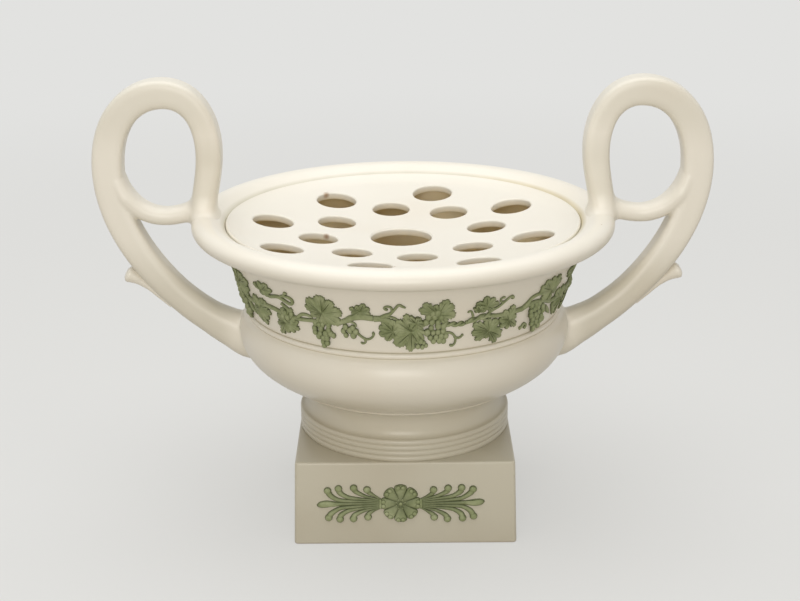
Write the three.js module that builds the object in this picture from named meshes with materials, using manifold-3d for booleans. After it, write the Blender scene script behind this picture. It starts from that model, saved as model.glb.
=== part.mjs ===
// Crocus pot: a footed bowl on a square plinth, with looped handles, a pierced cover and vine relief.
// Millimetres, +Z up. The origin is under the middle of the plinth and the front looks along -Y.
import * as THREE from 'three';
import { mergeVertices } from 'three/addons/utils/BufferGeometryUtils.js';
import Module from 'manifold-3d';

const wasm = await Module();
wasm.setup();

// Shared by all turned pieces
const turnSegments = 36;
const jointGap = 0.3;

// Plinth: square, hollow and open underneath
const plinthWidth = 104;
const plinthHeight = 42;
const plinthDraft = 1.2;
const plinthEdgeRound = 1;
const plinthCornerRound = 2;
const plinthWall = 6;
const plinthTopThickness = 7;
const ventRadius = 12;

// Foot: reeded ring with a hollow moulding above the reeds
const footRadius = 51.7;
const footHeight = 27.4;
const footBoreRadius = 41;
const reedCount = 4;
const reedHeight = 2.7;
const reedDepth = 0.7;
const footNeckRadius = 47.6;
const footNeckRise = 4.5;
const footTopMargin = 0.6;
const footTopEdge = 0.8;
const footFlare = { neckUp: 0.5, topIn: 0.45, topDown: 2 };

// Bowl: swelling belly, two incised lines with a bead between, flaring wall and rolled lip
const bellyBottomRadius = 59.1;
const bellyRadius = 80.1;
const bellyRise = 24.6;
const waistRadius = 75.8;
const waistRise = 33.2;
const beadHeight = 2.9;
const beadDepth = 0.6;
const grooveHeight = 0.7;
const grooveDepth = 0.8;
const wallTopRadius = 88.9;
const wallHeight = 33;
const wallBellow = 79.2;
const lipRadius = 94.6;
const lipRollRadius = 6.5;
const lipDrop = 5.6;
const lipUnderAngle = -130;
const lipInnerAngle = 130;
const bowlWall = 5.5;
const bowlFloor = 6;
const bellyCurve = { lowOut: 0.42, lowUp: 0.17, sideUp: 0.51, waistIn: 0.6, waistUp: 0.85 };
const insideWallCurve = { ledgeIn: 1, ledgeDown: 0.35, wallDown: 0.6 };
const insideBellyCurve = { waistDown: 0.5, bellyUp: 0.7, bellyDown: 0.4, floorPull: 5, floorFlat: 9 };
const wallCurve = { lowUp: 0.33, highIn: 2.6, highUp: 0.73 };

// Cover: a dished disc with rings of holes for bulbs, lying on a ledge inside the lip
const coverRadius = 84.6;
const coverThickness = 5.5;
const coverDish = 8.4;
const coverEdgeBelowCrest = 5.6;
const coverSideClearance = 0.6;
const coverEdgeRound = 0.8;
const ledgeWidth = 4.6;
const seatWidth = 4;
const centreHoleRadius = 15;
const innerHoleCount = 8;
const innerHoleRadius = 9.3;
const innerHoleCircle = 40.6;
const innerHoleStart = 9.1;
const outerHoleCount = 8;
const outerHoleRadius = 10;
const outerHoleCircle = 64.4;
const outerHoleStart = 31.5;

// Handles: a strap that rises from the belly, rolls over into a loop and lands on the lip
const strapHalfWidth = 7.35;
const strapHalfDepth = 7.5;
const strapRootHalfWidth = 12.4;
const strapRootHalfDepth = 8.6;
const strapRootInset = 4.1;
const strapRootRise = 16.8;
const strapLeadIn = 14;
const limbHalfWidth = 6.3;
const limbFootHalfWidth = 7.6;
const limbFootHalfDepth = 9;
const loopReach = 45.3;
const loopSideRise = 20.7;
const loopTopReach = 17.9;
const loopTopRise = 57.6;
const limbRise = 28.7;
const limbInset = 3;
const limbFootOutset = 0.6;
const strapPull = { rootOut: 0.47, rootUp: 0.125, sideUp: 0.56 };
const loopPull = { topUp: 0.62, topOut: 0.57, topIn: 0.66, limbUp: 0.55, limbDown: 0.35, footUp: 0.59 };
const curlHalfWidth = 4.3;
const curlHalfDepth = 5.6;
const curlStart = { inwards: 4.4, down: 4 };
const curlBend = { inwards: 9.9, down: 20 };
const curlSweep = { inwards: 22, down: 25 };
const curlEndDown = 21.5;
const spurRootAt = 0.235;
const spurTipAt = 0.307;
const spurReach = 4;
const spurRootHalfWidth = 0.8;
const spurTipHalfWidth = 3.9;
const spurTipHalfDepth = 4.4;

// Relief: how thick the applied ornament is, and how it lies on the wall and on the plinth
const vineThickness = 1.6;
const vineStemHalfWidth = 1;
const tendrilHalfWidth = 0.6;
const vineBack = 2.5;
const garlandRepeats = 3;
const sprigEndGap = 0.25;
const leafRootUnder = 1.5;
const leafMiddle = 0.36;
const leafLobeReach = 0.62;
const leafNotch = { turn: 31, reach: 0.62 };
const grapeBumps = 5;
const grapeNotch = 0.88;
const grapeTaper = 0.3;
const ornamentThickness = 1.8;
const rosetteRadius = 8.9;
const rosettePetals = 8;
const petalNotch = 0.8;
const petalHalfTip = 0.45;
const rosetteBossRadius = 1.4;
const rosetteBossRise = 0.5;
const palmetteEndMargin = 13;
const palmetteLobes = 9;
const palmetteFirstLobe = 0.846;
const palmetteLobeStep = 0.208;
const palmetteLobeHalfWidth = 1.1;
const palmetteLobeRise = 6.2;
const palmetteLobeCurve = { rootRise: 0.45, middle: 0.55, middleRise: 0.7, late: 0.93, lateRise: 2.2 };
const ornamentRise = 20.6;

// Heights and lengths that follow from the sizes above
const footBottom = plinthHeight;
const bowlBottom = footBottom + footHeight;
const beadBottom = bowlBottom + waistRise;
const friezeBottom = beadBottom + grooveHeight * 2 + beadHeight;
const friezeTop = beadBottom + grooveHeight + beadHeight + wallHeight;
const friezeHeight = friezeTop - friezeBottom;
const lipHeight = friezeTop + lipDrop;
const crestHeight = lipHeight + lipRollRadius;
const coverEdgeHeight = crestHeight - coverEdgeBelowCrest;
const ledgeHeight = coverEdgeHeight - coverThickness;
const recessRadius = coverRadius + coverSideClearance;
const palmetteLength = plinthWidth / 2 - palmetteEndMargin - rosetteRadius - jointGap;

const creamGlaze = { color: 0xece4d0, roughness: 0.22, metalness: 0 };
const greenClay = { color: 0x858d66, roughness: 0.62, metalness: 0 };

function radians(degrees) {
  return degrees * Math.PI / 180;
}

function lerp(a, b, t) {
  return a + (b - a) * t;
}

// Solids: a closed three.js geometry becomes a solid for joining and cutting, and comes back
function toSolid(geometry) {
  const bare = geometry.index ? geometry.toNonIndexed() : geometry.clone();
  bare.deleteAttribute('normal');
  bare.deleteAttribute('uv');
  const merged = mergeVertices(bare, 1e-4);
  const corners = merged.index.array;
  const kept = [];
  for (let i = 0; i < corners.length; i += 3) {
    const [a, b, c] = [corners[i], corners[i + 1], corners[i + 2]];
    if (a !== b && b !== c && c !== a) kept.push(a, b, c);
  }
  const mesh = new wasm.Mesh({
    numProp: 3,
    vertProperties: new Float32Array(merged.attributes.position.array),
    triVerts: new Uint32Array(kept),
  });
  return new wasm.Manifold(mesh);
}

function toGeometry(solid) {
  const mesh = solid.getMesh();
  const geometry = new THREE.BufferGeometry();
  geometry.setAttribute('position', new THREE.BufferAttribute(new Float32Array(mesh.vertProperties), 3));
  geometry.setIndex(new THREE.BufferAttribute(new Uint32Array(mesh.triVerts), 1));
  geometry.computeVertexNormals();
  return geometry;
}

function joinAll(solids) {
  return solids.reduce((joined, solid) => joined.add(solid));
}

// A profile in the plane of radius and height is turned about the Z axis
function turned(points, segments = turnSegments) {
  const geometry = new THREE.LatheGeometry(points, segments);
  geometry.rotateX(Math.PI / 2);
  return geometry;
}

function pointsAlong(path, divisions) {
  const points = path.getPoints(divisions);
  return points.filter((point, i) => i === 0 || point.distanceTo(points[i - 1]) > 1e-6);
}

// An outline in the XY plane raised along Z by a thickness
function raised(shape, thickness, curveSegments = 8) {
  return new THREE.ExtrudeGeometry(shape, { depth: thickness, bevelEnabled: false, curveSegments });
}

function rod(radius, bottom, top, segments = 16) {
  const geometry = new THREE.CylinderGeometry(radius, radius, top - bottom, segments);
  geometry.rotateX(Math.PI / 2);
  geometry.translate(0, 0, (top + bottom) / 2);
  return geometry;
}

// A round bar bent along a curve: the section is a rounded rectangle whose half sizes vary along it
function bentBar(curve, across, sizeAt, stations, sides, squareness = 2.6) {
  const geometry = new THREE.CylinderGeometry(1, 1, 1, sides, stations, false, Math.PI / sides);
  const position = geometry.attributes.position;
  const corner = new THREE.Vector3();
  for (let i = 0; i < position.count; i += 1) {
    corner.fromBufferAttribute(position, i);
    const along = Math.min(Math.max(corner.y + 0.5, 0), 1);
    const centre = curve.getPoint(along);
    const forward = curve.getTangent(along);
    const sideways = across(centre);
    const outward = new THREE.Vector3().crossVectors(forward, sideways).normalize();
    const { halfWidth, halfDepth } = sizeAt(along);
    const angle = Math.atan2(corner.z, corner.x);
    const radius = Math.hypot(corner.x, corner.z);
    const power = 2 / squareness;
    const u = radius * Math.sign(Math.cos(angle)) * Math.abs(Math.cos(angle)) ** power;
    const v = radius * Math.sign(Math.sin(angle)) * Math.abs(Math.sin(angle)) ** power;
    centre.addScaledVector(outward, u * halfWidth);
    centre.addScaledVector(sideways, v * halfDepth);
    position.setXYZ(i, centre.x, centre.y, centre.z);
  }
  return geometry;
}

// Sizes given at a few places along a curve, joined by straight steps
function sizeSteps(steps) {
  return (along) => {
    const next = Math.max(1, steps.findIndex((step) => step.at >= along));
    const [low, high] = [steps[next - 1], steps[next]];
    const t = (along - low.at) / (high.at - low.at);
    return {
      halfWidth: lerp(low.halfWidth, high.halfWidth, t),
      halfDepth: lerp(low.halfDepth, high.halfDepth, t),
    };
  };
}

// Outer side of the bowl, from the belly's lower edge up to the top of the lip
function wallPath() {
  const path = new THREE.Path();
  path.moveTo(waistRadius, friezeBottom);
  path.bezierCurveTo(
    wallBellow, lerp(friezeBottom, friezeTop, wallCurve.lowUp),
    (wallBellow + wallTopRadius) / 2 - wallCurve.highIn, lerp(friezeBottom, friezeTop, wallCurve.highUp),
    wallTopRadius, friezeTop,
  );
  return path;
}

function bowlOutside() {
  const path = new THREE.Path();
  const bellyHeight = bowlBottom + bellyRise;
  path.moveTo(bellyBottomRadius, bowlBottom);
  path.bezierCurveTo(
    lerp(bellyBottomRadius, bellyRadius, bellyCurve.lowOut), bowlBottom + bellyRise * bellyCurve.lowUp,
    bellyRadius, bowlBottom + bellyRise * bellyCurve.sideUp,
    bellyRadius, bellyHeight,
  );
  path.bezierCurveTo(
    bellyRadius, lerp(bellyHeight, beadBottom, 0.5),
    lerp(waistRadius, bellyRadius, bellyCurve.waistIn), lerp(bellyHeight, beadBottom, bellyCurve.waistUp),
    waistRadius, beadBottom,
  );
  const points = pointsAlong(path, 4);
  for (const groove of [beadBottom, friezeBottom - grooveHeight]) {
    points.push(new THREE.Vector2(waistRadius - grooveDepth, groove + grooveHeight / 2));
    points.push(new THREE.Vector2(waistRadius, groove + grooveHeight));
    if (groove === beadBottom) {
      points.push(new THREE.Vector2(waistRadius + beadDepth, groove + grooveHeight + beadHeight / 2));
      points.push(new THREE.Vector2(waistRadius, groove + grooveHeight + beadHeight));
    }
  }
  points.push(...pointsAlong(wallPath(), 4).slice(1));
  const lip = new THREE.Path();
  lip.absarc(lipRadius, lipHeight, lipRollRadius, radians(lipUnderAngle), radians(lipInnerAngle), false);
  points.push(...pointsAlong(lip, 4));
  return points;
}

// The lip's inner slope meets the cover's recess a little inside the roll
function recessTop() {
  const slope = radians(lipInnerAngle + 90);
  const startRadius = lipRadius + lipRollRadius * Math.cos(radians(lipInnerAngle));
  const startHeight = lipHeight + lipRollRadius * Math.sin(radians(lipInnerAngle));
  const run = (startRadius - recessRadius) / -Math.cos(slope);
  return new THREE.Vector2(recessRadius, startHeight + run * Math.sin(slope));
}

function bowlInside() {
  const ledgeRadius = recessRadius - ledgeWidth;
  const floorHeight = bowlBottom + bowlFloor;
  const bellyHeight = bowlBottom + bellyRise;
  const path = new THREE.Path();
  path.moveTo(ledgeRadius, ledgeHeight);
  path.bezierCurveTo(
    ledgeRadius - insideWallCurve.ledgeIn, lerp(ledgeHeight, friezeBottom, insideWallCurve.ledgeDown),
    waistRadius - bowlWall, lerp(ledgeHeight, friezeBottom, insideWallCurve.wallDown),
    waistRadius - bowlWall, friezeBottom,
  );
  path.bezierCurveTo(
    waistRadius - bowlWall, lerp(friezeBottom, bellyHeight, insideBellyCurve.waistDown),
    bellyRadius - bowlWall, lerp(friezeBottom, bellyHeight, insideBellyCurve.bellyUp),
    bellyRadius - bowlWall, bellyHeight,
  );
  path.bezierCurveTo(
    bellyRadius - bowlWall, lerp(floorHeight, bellyHeight, insideBellyCurve.bellyDown),
    bellyBottomRadius + insideBellyCurve.floorPull, floorHeight,
    bellyBottomRadius - insideBellyCurve.floorFlat, floorHeight,
  );
  return pointsAlong(path, 3);
}

function bowlGeometry() {
  const profile = [new THREE.Vector2(0, bowlBottom), ...bowlOutside()];
  profile.push(recessTop());
  profile.push(new THREE.Vector2(recessRadius, ledgeHeight));
  profile.push(...bowlInside());
  profile.push(new THREE.Vector2(0, bowlBottom + bowlFloor));
  return turned(profile);
}

// What the handles are cut with: the bowl's outside, grown by the gap and closed over the top
function bowlCutter() {
  const outside = bowlOutside();
  const grown = outside.map((point, i) => {
    const before = outside[Math.max(i - 1, 0)];
    const after = outside[Math.min(i + 1, outside.length - 1)];
    const along = new THREE.Vector2().subVectors(after, before).normalize();
    return new THREE.Vector2(point.x + along.y * jointGap, point.y - along.x * jointGap);
  });
  const low = new THREE.Vector2(0, grown[0].y - jointGap);
  const high = new THREE.Vector2(0, grown[grown.length - 1].y);
  return toSolid(turned([low, ...grown, high]));
}

function plinthGeometry() {
  const block = (width, height, cornerRound, edgeRound) => {
    const half = width / 2 - edgeRound;
    const shape = new THREE.Shape();
    for (let i = 0; i < 4; i += 1) {
      const turn = i * Math.PI / 2 + Math.PI / 4;
      const x = Math.sign(Math.cos(turn)) * (half - cornerRound);
      const y = Math.sign(Math.sin(turn)) * (half - cornerRound);
      shape.absarc(x, y, cornerRound, turn - Math.PI / 4, turn + Math.PI / 4, false);
    }
    const geometry = new THREE.ExtrudeGeometry(shape, {
      depth: height - edgeRound * 2,
      bevelEnabled: edgeRound > 0,
      bevelSize: edgeRound,
      bevelThickness: edgeRound,
      bevelSegments: 1,
      curveSegments: 3,
    });
    geometry.translate(0, 0, edgeRound);
    return geometry;
  };
  const outside = block(plinthWidth, plinthHeight, plinthCornerRound, plinthEdgeRound);
  const position = outside.attributes.position;
  for (let i = 0; i < position.count; i += 1) {
    const spread = 1 + plinthDraft * (1 - position.getZ(i) / plinthHeight) * 2 / plinthWidth;
    position.setX(i, position.getX(i) * spread);
    position.setY(i, position.getY(i) * spread);
  }
  const hollowWidth = plinthWidth - plinthWall * 2;
  const hollow = block(hollowWidth, plinthHeight - plinthTopThickness + 1, plinthCornerRound, 0);
  hollow.translate(0, 0, -1);
  const vent = rod(ventRadius, plinthHeight - plinthTopThickness - 1, plinthHeight + 1);
  return toGeometry(toSolid(outside).subtract(toSolid(hollow)).subtract(toSolid(vent)));
}

function footGeometry() {
  const reedTop = footBottom + reedCount * reedHeight;
  const topRadius = bellyBottomRadius - footTopMargin;
  const profile = [new THREE.Vector2(footBoreRadius, footBottom)];
  profile.push(new THREE.Vector2(footRadius - reedDepth, footBottom));
  for (let i = 0; i < reedCount; i += 1) {
    const low = footBottom + i * reedHeight;
    profile.push(new THREE.Vector2(footRadius, low + reedHeight / 2));
    profile.push(new THREE.Vector2(footRadius - reedDepth, low + reedHeight));
  }
  const hollow = new THREE.Path();
  hollow.moveTo(footRadius - reedDepth, reedTop);
  hollow.quadraticCurveTo(footNeckRadius, reedTop, footNeckRadius, reedTop + footNeckRise);
  hollow.bezierCurveTo(
    footNeckRadius, lerp(reedTop + footNeckRise, bowlBottom, footFlare.neckUp),
    lerp(footNeckRadius, topRadius, footFlare.topIn), bowlBottom - footFlare.topDown,
    topRadius, bowlBottom - footTopEdge,
  );
  profile.push(...pointsAlong(hollow, 3).slice(1));
  profile.push(new THREE.Vector2(topRadius, bowlBottom));
  profile.push(new THREE.Vector2(footBoreRadius, bowlBottom));
  profile.push(profile[0].clone());
  return turned(profile);
}

function coverGeometry() {
  const dishAt = (radius) => coverDish * (1 - (radius / coverRadius) ** 2);
  const top = (radius) => new THREE.Vector2(radius, coverEdgeHeight - dishAt(radius));
  const under = (radius) => new THREE.Vector2(radius, coverEdgeHeight - coverThickness - dishAt(radius));
  const seatInner = coverRadius - seatWidth;
  const steps = [0, 0.4, 0.75, 1];
  const profile = steps.map((step) => under(step * (seatInner - 1)));
  profile.push(new THREE.Vector2(seatInner, ledgeHeight));
  profile.push(new THREE.Vector2(coverRadius, ledgeHeight));
  profile.push(new THREE.Vector2(coverRadius, coverEdgeHeight - coverEdgeRound));
  steps.reverse().forEach((step) => profile.push(top(step * (coverRadius - coverEdgeRound))));
  let cover = toSolid(turned(profile));
  const bottom = coverEdgeHeight - coverDish - coverThickness - 1;
  const drill = (radius, circle, degrees) => {
    const hole = rod(radius, bottom, crestHeight, 12);
    hole.translate(circle * Math.cos(radians(degrees)), circle * Math.sin(radians(degrees)), 0);
    cover = cover.subtract(toSolid(hole));
  };
  drill(centreHoleRadius, 0, 0);
  for (let i = 0; i < innerHoleCount; i += 1) {
    drill(innerHoleRadius, innerHoleCircle, innerHoleStart + i * 360 / innerHoleCount);
  }
  for (let i = 0; i < outerHoleCount; i += 1) {
    drill(outerHoleRadius, outerHoleCircle, outerHoleStart + i * 360 / outerHoleCount);
  }
  return toGeometry(cover);
}

// The handle's middle line lies in the plane y = 0, on the +X side
function handlePlaces() {
  return {
    root: new THREE.Vector3(bellyRadius - strapRootInset, 0, bowlBottom + strapRootRise),
    side: new THREE.Vector3(lipRadius + loopReach, 0, crestHeight + loopSideRise),
    top: new THREE.Vector3(lipRadius + loopTopReach, 0, crestHeight + loopTopRise),
    limb: new THREE.Vector3(lipRadius - limbInset, 0, crestHeight + limbRise),
    foot: new THREE.Vector3(lipRadius + limbFootOutset, 0, crestHeight - lipRollRadius),
  };
}

function strapCurve() {
  const { root, side, top, limb, foot } = handlePlaces();
  const reach = side.x - root.x;
  const rise = side.z - root.z;
  const curve = new THREE.CurvePath();
  curve.add(new THREE.LineCurve3(new THREE.Vector3(root.x - strapLeadIn, 0, root.z - 1), root));
  curve.add(new THREE.CubicBezierCurve3(
    root,
    new THREE.Vector3(root.x + reach * strapPull.rootOut, 0, root.z + rise * strapPull.rootUp),
    new THREE.Vector3(side.x, 0, root.z + rise * strapPull.sideUp),
    side,
  ));
  curve.add(new THREE.CubicBezierCurve3(
    side,
    new THREE.Vector3(side.x, 0, lerp(side.z, top.z, loopPull.topUp)),
    new THREE.Vector3(lerp(top.x, side.x, loopPull.topOut), 0, top.z),
    top,
  ));
  curve.add(new THREE.CubicBezierCurve3(
    top,
    new THREE.Vector3(lerp(top.x, limb.x, loopPull.topIn), 0, top.z),
    new THREE.Vector3(limb.x, 0, lerp(limb.z, top.z, loopPull.limbUp)),
    limb,
  ));
  curve.add(new THREE.CubicBezierCurve3(
    limb,
    new THREE.Vector3(limb.x, 0, lerp(limb.z, foot.z, loopPull.limbDown)),
    new THREE.Vector3(foot.x, 0, lerp(limb.z, foot.z, loopPull.footUp)),
    foot,
  ));
  return curve;
}

function curlCurve() {
  const { side, limb } = handlePlaces();
  const inside = ({ inwards, down }) => new THREE.Vector3(side.x - inwards, 0, side.z - down);
  return new THREE.CubicBezierCurve3(
    inside(curlStart),
    inside(curlBend),
    inside(curlSweep),
    new THREE.Vector3(limb.x + limbHalfWidth - 1, 0, side.z - curlEndDown),
  );
}

const towardsBack = () => new THREE.Vector3(0, 1, 0);

function strapSolid(grow = 0) {
  const sizes = sizeSteps([
    { at: 0, halfWidth: strapRootHalfWidth + grow, halfDepth: strapRootHalfDepth + grow },
    { at: 0.05, halfWidth: strapRootHalfWidth + grow, halfDepth: strapRootHalfDepth + grow },
    { at: 0.13, halfWidth: strapHalfWidth + 1.2 + grow, halfDepth: strapHalfDepth + grow },
    { at: 0.22, halfWidth: strapHalfWidth + grow, halfDepth: strapHalfDepth + grow },
    { at: 0.6, halfWidth: strapHalfWidth + grow, halfDepth: strapHalfDepth + grow },
    { at: 0.78, halfWidth: limbHalfWidth + grow, halfDepth: strapHalfDepth + grow },
    { at: 0.9, halfWidth: limbHalfWidth + grow, halfDepth: strapHalfDepth + grow },
    { at: 1, halfWidth: limbFootHalfWidth + grow, halfDepth: limbFootHalfDepth + grow },
  ]);
  return toSolid(bentBar(strapCurve(), towardsBack, sizes, 34, 10));
}

function handleGeometry() {
  const curlSizes = sizeSteps([
    { at: 0, halfWidth: curlHalfWidth, halfDepth: curlHalfDepth },
    { at: 1, halfWidth: curlHalfWidth, halfDepth: curlHalfDepth },
  ]);
  const curl = toSolid(bentBar(curlCurve(), towardsBack, curlSizes, 8, 8));
  return toGeometry(strapSolid().add(curl).subtract(bowlCutter()));
}

// The spur: a small leaf that peels off the lower side of the strap and fans out at its tip
function spurGeometry() {
  const strap = strapCurve();
  const beside = (share, out) => {
    const at = lerp(spurRootAt, spurTipAt, share);
    const along = strap.getTangent(at);
    return strap.getPoint(at).addScaledVector(new THREE.Vector3(along.z, 0, -along.x), strapHalfWidth + out);
  };
  const curve = new THREE.CubicBezierCurve3(
    beside(0, -spurRootHalfWidth),
    beside(0.45, spurRootHalfWidth),
    beside(0.8, spurReach * 0.4),
    beside(1, spurReach),
  );
  const sizes = sizeSteps([
    { at: 0, halfWidth: spurRootHalfWidth, halfDepth: spurTipHalfDepth * 0.4 },
    { at: 0.5, halfWidth: spurTipHalfWidth * 0.45, halfDepth: spurTipHalfDepth * 0.7 },
    { at: 1, halfWidth: spurTipHalfWidth, halfDepth: spurTipHalfDepth },
  ]);
  const spur = toSolid(bentBar(curve, towardsBack, sizes, 6, 8));
  return toGeometry(spur.subtract(strapSolid(jointGap)));
}

// Vine relief: angles run from the front towards +X, heights and lengths are shares of the frieze's height.
// A leaf has a place, a length and a turn, and a bunch has a place, a height and a width
const sprigs = [
  {
    name: 'wide',
    from: 41,
    to: 83.5,
    stem: [
      [41, 0.46], [43.5, 0.59], [47, 0.64], [51, 0.57], [56, 0.4], [61, 0.39], [68, 0.43], [76, 0.4],
      [83.5, 0.37],
    ],
    leaves: [[53, 0.46, 0.37, 60], [65, 0.46, 0.28, 250], [70.6, 0.42, 0.37, 77], [80, 0.45, 0.37, 235]],
    grapes: [[48.5, 0.28, 0.46, 0.28]],
    tendrils: [
      [[75.2, 0.4], [76.5, 0.6], [79.4, 0.74], [82.2, 0.71]],
      [[59, 0.4], [60, 0.22], [62, 0.11]],
      [[47, 0.67], [48.5, 0.53], [48.5, 0.34]],
    ],
  },
  {
    name: 'tall',
    from: -36.5,
    to: -9.5,
    stem: [[-36.5, 0.37], [-33, 0.47], [-30, 0.43], [-24, 0.4], [-19, 0.45], [-15.5, 0.57], [-9.5, 0.55]],
    leaves: [[-26.5, 0.39, 0.46, 95], [-14, 0.56, 0.25, 95]],
    grapes: [[-27, 0.26, 0.43, 0.28], [-17.6, 0.33, 0.22, 0.22]],
    tendrils: [[[-16.8, 0.29], [-12.4, 0.21], [-10.4, 0.25], [-10, 0.31]], [[-18.2, 0.49], [-17.6, 0.37]]],
  },
  {
    name: 'full',
    from: -9.5,
    to: 19.5,
    stem: [[-9.5, 0.55], [-5, 0.53], [0, 0.45], [7, 0.43], [13, 0.44], [19.5, 0.43]],
    leaves: [[-3.6, 0.51, 0.29, 245], [1.6, 0.47, 0.42, 275], [10.5, 0.41, 0.37, 80]],
    grapes: [[10.4, 0.33, 0.46, 0.29]],
    tendrils: [
      [[-7, 0.56], [-4, 0.68], [-2.2, 0.77], [0, 0.74]],
      [[12, 0.29], [16, 0.25], [17, 0.14], [15.4, 0.09]],
    ],
  },
  {
    name: 'low',
    from: 19.5,
    to: 41,
    stem: [[19.5, 0.43], [27, 0.48], [34, 0.46], [41, 0.46]],
    leaves: [[25.2, 0.44, 0.35, 95], [28.4, 0.51, 0.45, 268], [34.2, 0.46, 0.33, 325]],
    grapes: [],
    tendrils: [[[31.4, 0.47], [32.8, 0.62], [34.8, 0.74], [36, 0.71]]],
  },
];

// A vine leaf of five pointed lobes in the XY plane, pointing along +X from a root that lies under the stem
function leafShape(length) {
  const lobes = [[-128, 0.62], [-62, 0.78], [0, 1], [62, 0.78], [128, 0.62]];
  const middle = length * leafMiddle - leafRootUnder;
  const shape = new THREE.Shape();
  shape.moveTo(-leafRootUnder, 0);
  for (const [degrees, reach] of lobes) {
    for (const [turn, share] of [[0, 1], [leafNotch.turn, leafNotch.reach]]) {
      const angle = radians(degrees + turn);
      const radius = length * leafLobeReach * reach * share;
      shape.lineTo(middle + radius * Math.cos(angle), radius * Math.sin(angle));
    }
  }
  shape.closePath();
  return shape;
}

// A bunch of grapes seen from the front: a scalloped drop
function grapeShape(height, width) {
  const shape = new THREE.Shape();
  for (let i = 0; i < grapeBumps * 2; i += 1) {
    const angle = i * Math.PI / grapeBumps;
    const reach = i % 2 === 0 ? 1 : grapeNotch;
    const taper = 1 - grapeTaper * Math.max(0, -Math.sin(angle));
    const x = width / 2 * reach * taper * Math.cos(angle);
    const y = height / 2 * reach * Math.sin(angle);
    if (i === 0) shape.moveTo(x, y);
    else shape.lineTo(x, y);
  }
  shape.closePath();
  return shape;
}

function heightAt(share) {
  return friezeBottom + share * friezeHeight;
}

// Radius and lean of the frieze wall at a height
function wallAt(height) {
  const wall = pointsAlong(wallPath(), 4);
  const next = Math.max(1, wall.findIndex((point) => point.y >= height));
  const [low, high] = [wall[next - 1], wall[next]];
  const slope = (high.x - low.x) / (high.y - low.y);
  return { radius: low.x + slope * (height - low.y), lean: Math.atan(slope) };
}

// A flat shape is laid against the wall; it touches where its middle, so far along its own +X axis, is
function onWall(shape, degrees, height, turn = 0, middle = 0) {
  const across = middle * Math.cos(radians(turn));
  const up = middle * Math.sin(radians(turn));
  const { radius, lean } = wallAt(height + up);
  const geometry = raised(shape, vineThickness + vineBack);
  geometry.rotateZ(radians(turn));
  geometry.translate(-across, -up, jointGap - vineBack);
  geometry.rotateX(Math.PI / 2 + lean);
  geometry.translate(0, -radius, height + up);
  geometry.rotateZ(radians(degrees) + across / radius);
  return toSolid(geometry);
}

// A flat band of even width along a curve, with a blunt tip
function ribbonShape(curve, halfWidth, stations) {
  const sides = [[], []];
  for (let i = 0; i <= stations; i += 1) {
    const place = curve.getPoint(i / stations);
    const along = curve.getTangent(i / stations);
    sides[0].push(new THREE.Vector2(place.x - along.y * halfWidth, place.y + along.x * halfWidth));
    sides[1].unshift(new THREE.Vector2(place.x + along.y * halfWidth, place.y - along.x * halfWidth));
  }
  return new THREE.Shape([...sides[0], ...sides[1]]);
}

function tendril(points) {
  const [start, end] = [points[0], points[points.length - 1]];
  const middleDegrees = (start[0] + end[0]) / 2;
  const middleShare = (start[1] + end[1]) / 2;
  const middleHeight = heightAt(middleShare);
  const arc = radians(1) * wallAt(middleHeight).radius;
  const places = points.map(([degrees, share]) => (
    new THREE.Vector2((degrees - middleDegrees) * arc, (share - middleShare) * friezeHeight)
  ));
  const curve = new THREE.SplineCurve(places);
  return onWall(ribbonShape(curve, tendrilHalfWidth, points.length), middleDegrees, middleHeight);
}

function stem(points) {
  const places = points.map(([degrees, share]) => {
    const height = heightAt(share);
    const radius = wallAt(height).radius + jointGap + vineThickness / 2;
    const angle = radians(degrees);
    return new THREE.Vector3(radius * Math.sin(angle), -radius * Math.cos(angle), height);
  });
  const curve = new THREE.CatmullRomCurve3(places);
  const fromAxis = (place) => new THREE.Vector3(place.x, place.y, 0).normalize();
  const size = { halfWidth: vineStemHalfWidth, halfDepth: vineThickness * 0.6 };
  return toSolid(bentBar(curve, fromAxis, () => size, points.length, 4));
}

// Each sprig is cut to the wall behind it and keeps clear of the next one at its two ends
function sprigGeometry(sprig) {
  const parts = [stem(sprig.stem)];
  for (const [degrees, share, size, turn] of sprig.leaves) {
    const length = size * friezeHeight;
    parts.push(onWall(leafShape(length), degrees, heightAt(share), turn, length / 2));
  }
  for (const [degrees, share, tall, wide] of sprig.grapes) {
    parts.push(onWall(grapeShape(tall * friezeHeight, wide * friezeHeight), degrees, heightAt(share)));
  }
  for (const points of sprig.tendrils) parts.push(tendril(points));
  const reach = lipRadius * 1.5;
  const wedge = new THREE.Shape();
  wedge.moveTo(0, 0);
  for (const degrees of [sprig.from + sprigEndGap, (sprig.from + sprig.to) / 2, sprig.to - sprigEndGap]) {
    wedge.lineTo(reach * Math.sin(radians(degrees)), -reach * Math.cos(radians(degrees)));
  }
  wedge.closePath();
  const sector = toSolid(raised(wedge, crestHeight));
  return toGeometry(joinAll(parts).subtract(bowlCutter()).intersect(sector));
}

// Plinth ornament: a rosette between two palmettes, drawn in the XY plane and facing +Z
function rosetteGeometry() {
  const shape = new THREE.Shape();
  const petalHalfAngle = Math.PI / rosettePetals;
  for (let i = 0; i < rosettePetals; i += 1) {
    const middle = i * 2 * petalHalfAngle;
    for (const [turn, reach] of [[-1, petalNotch], [-petalHalfTip, 1], [petalHalfTip, 1]]) {
      const angle = middle + turn * petalHalfAngle;
      const x = rosetteRadius * reach * Math.cos(angle);
      const y = rosetteRadius * reach * Math.sin(angle);
      if (i === 0 && turn === -1) shape.moveTo(x, y);
      else shape.lineTo(x, y);
    }
  }
  shape.closePath();
  const boss = rod(rosetteBossRadius, ornamentThickness / 2, ornamentThickness + rosetteBossRise, 8);
  return toGeometry(toSolid(raised(shape, ornamentThickness)).add(toSolid(boss)));
}

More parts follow.
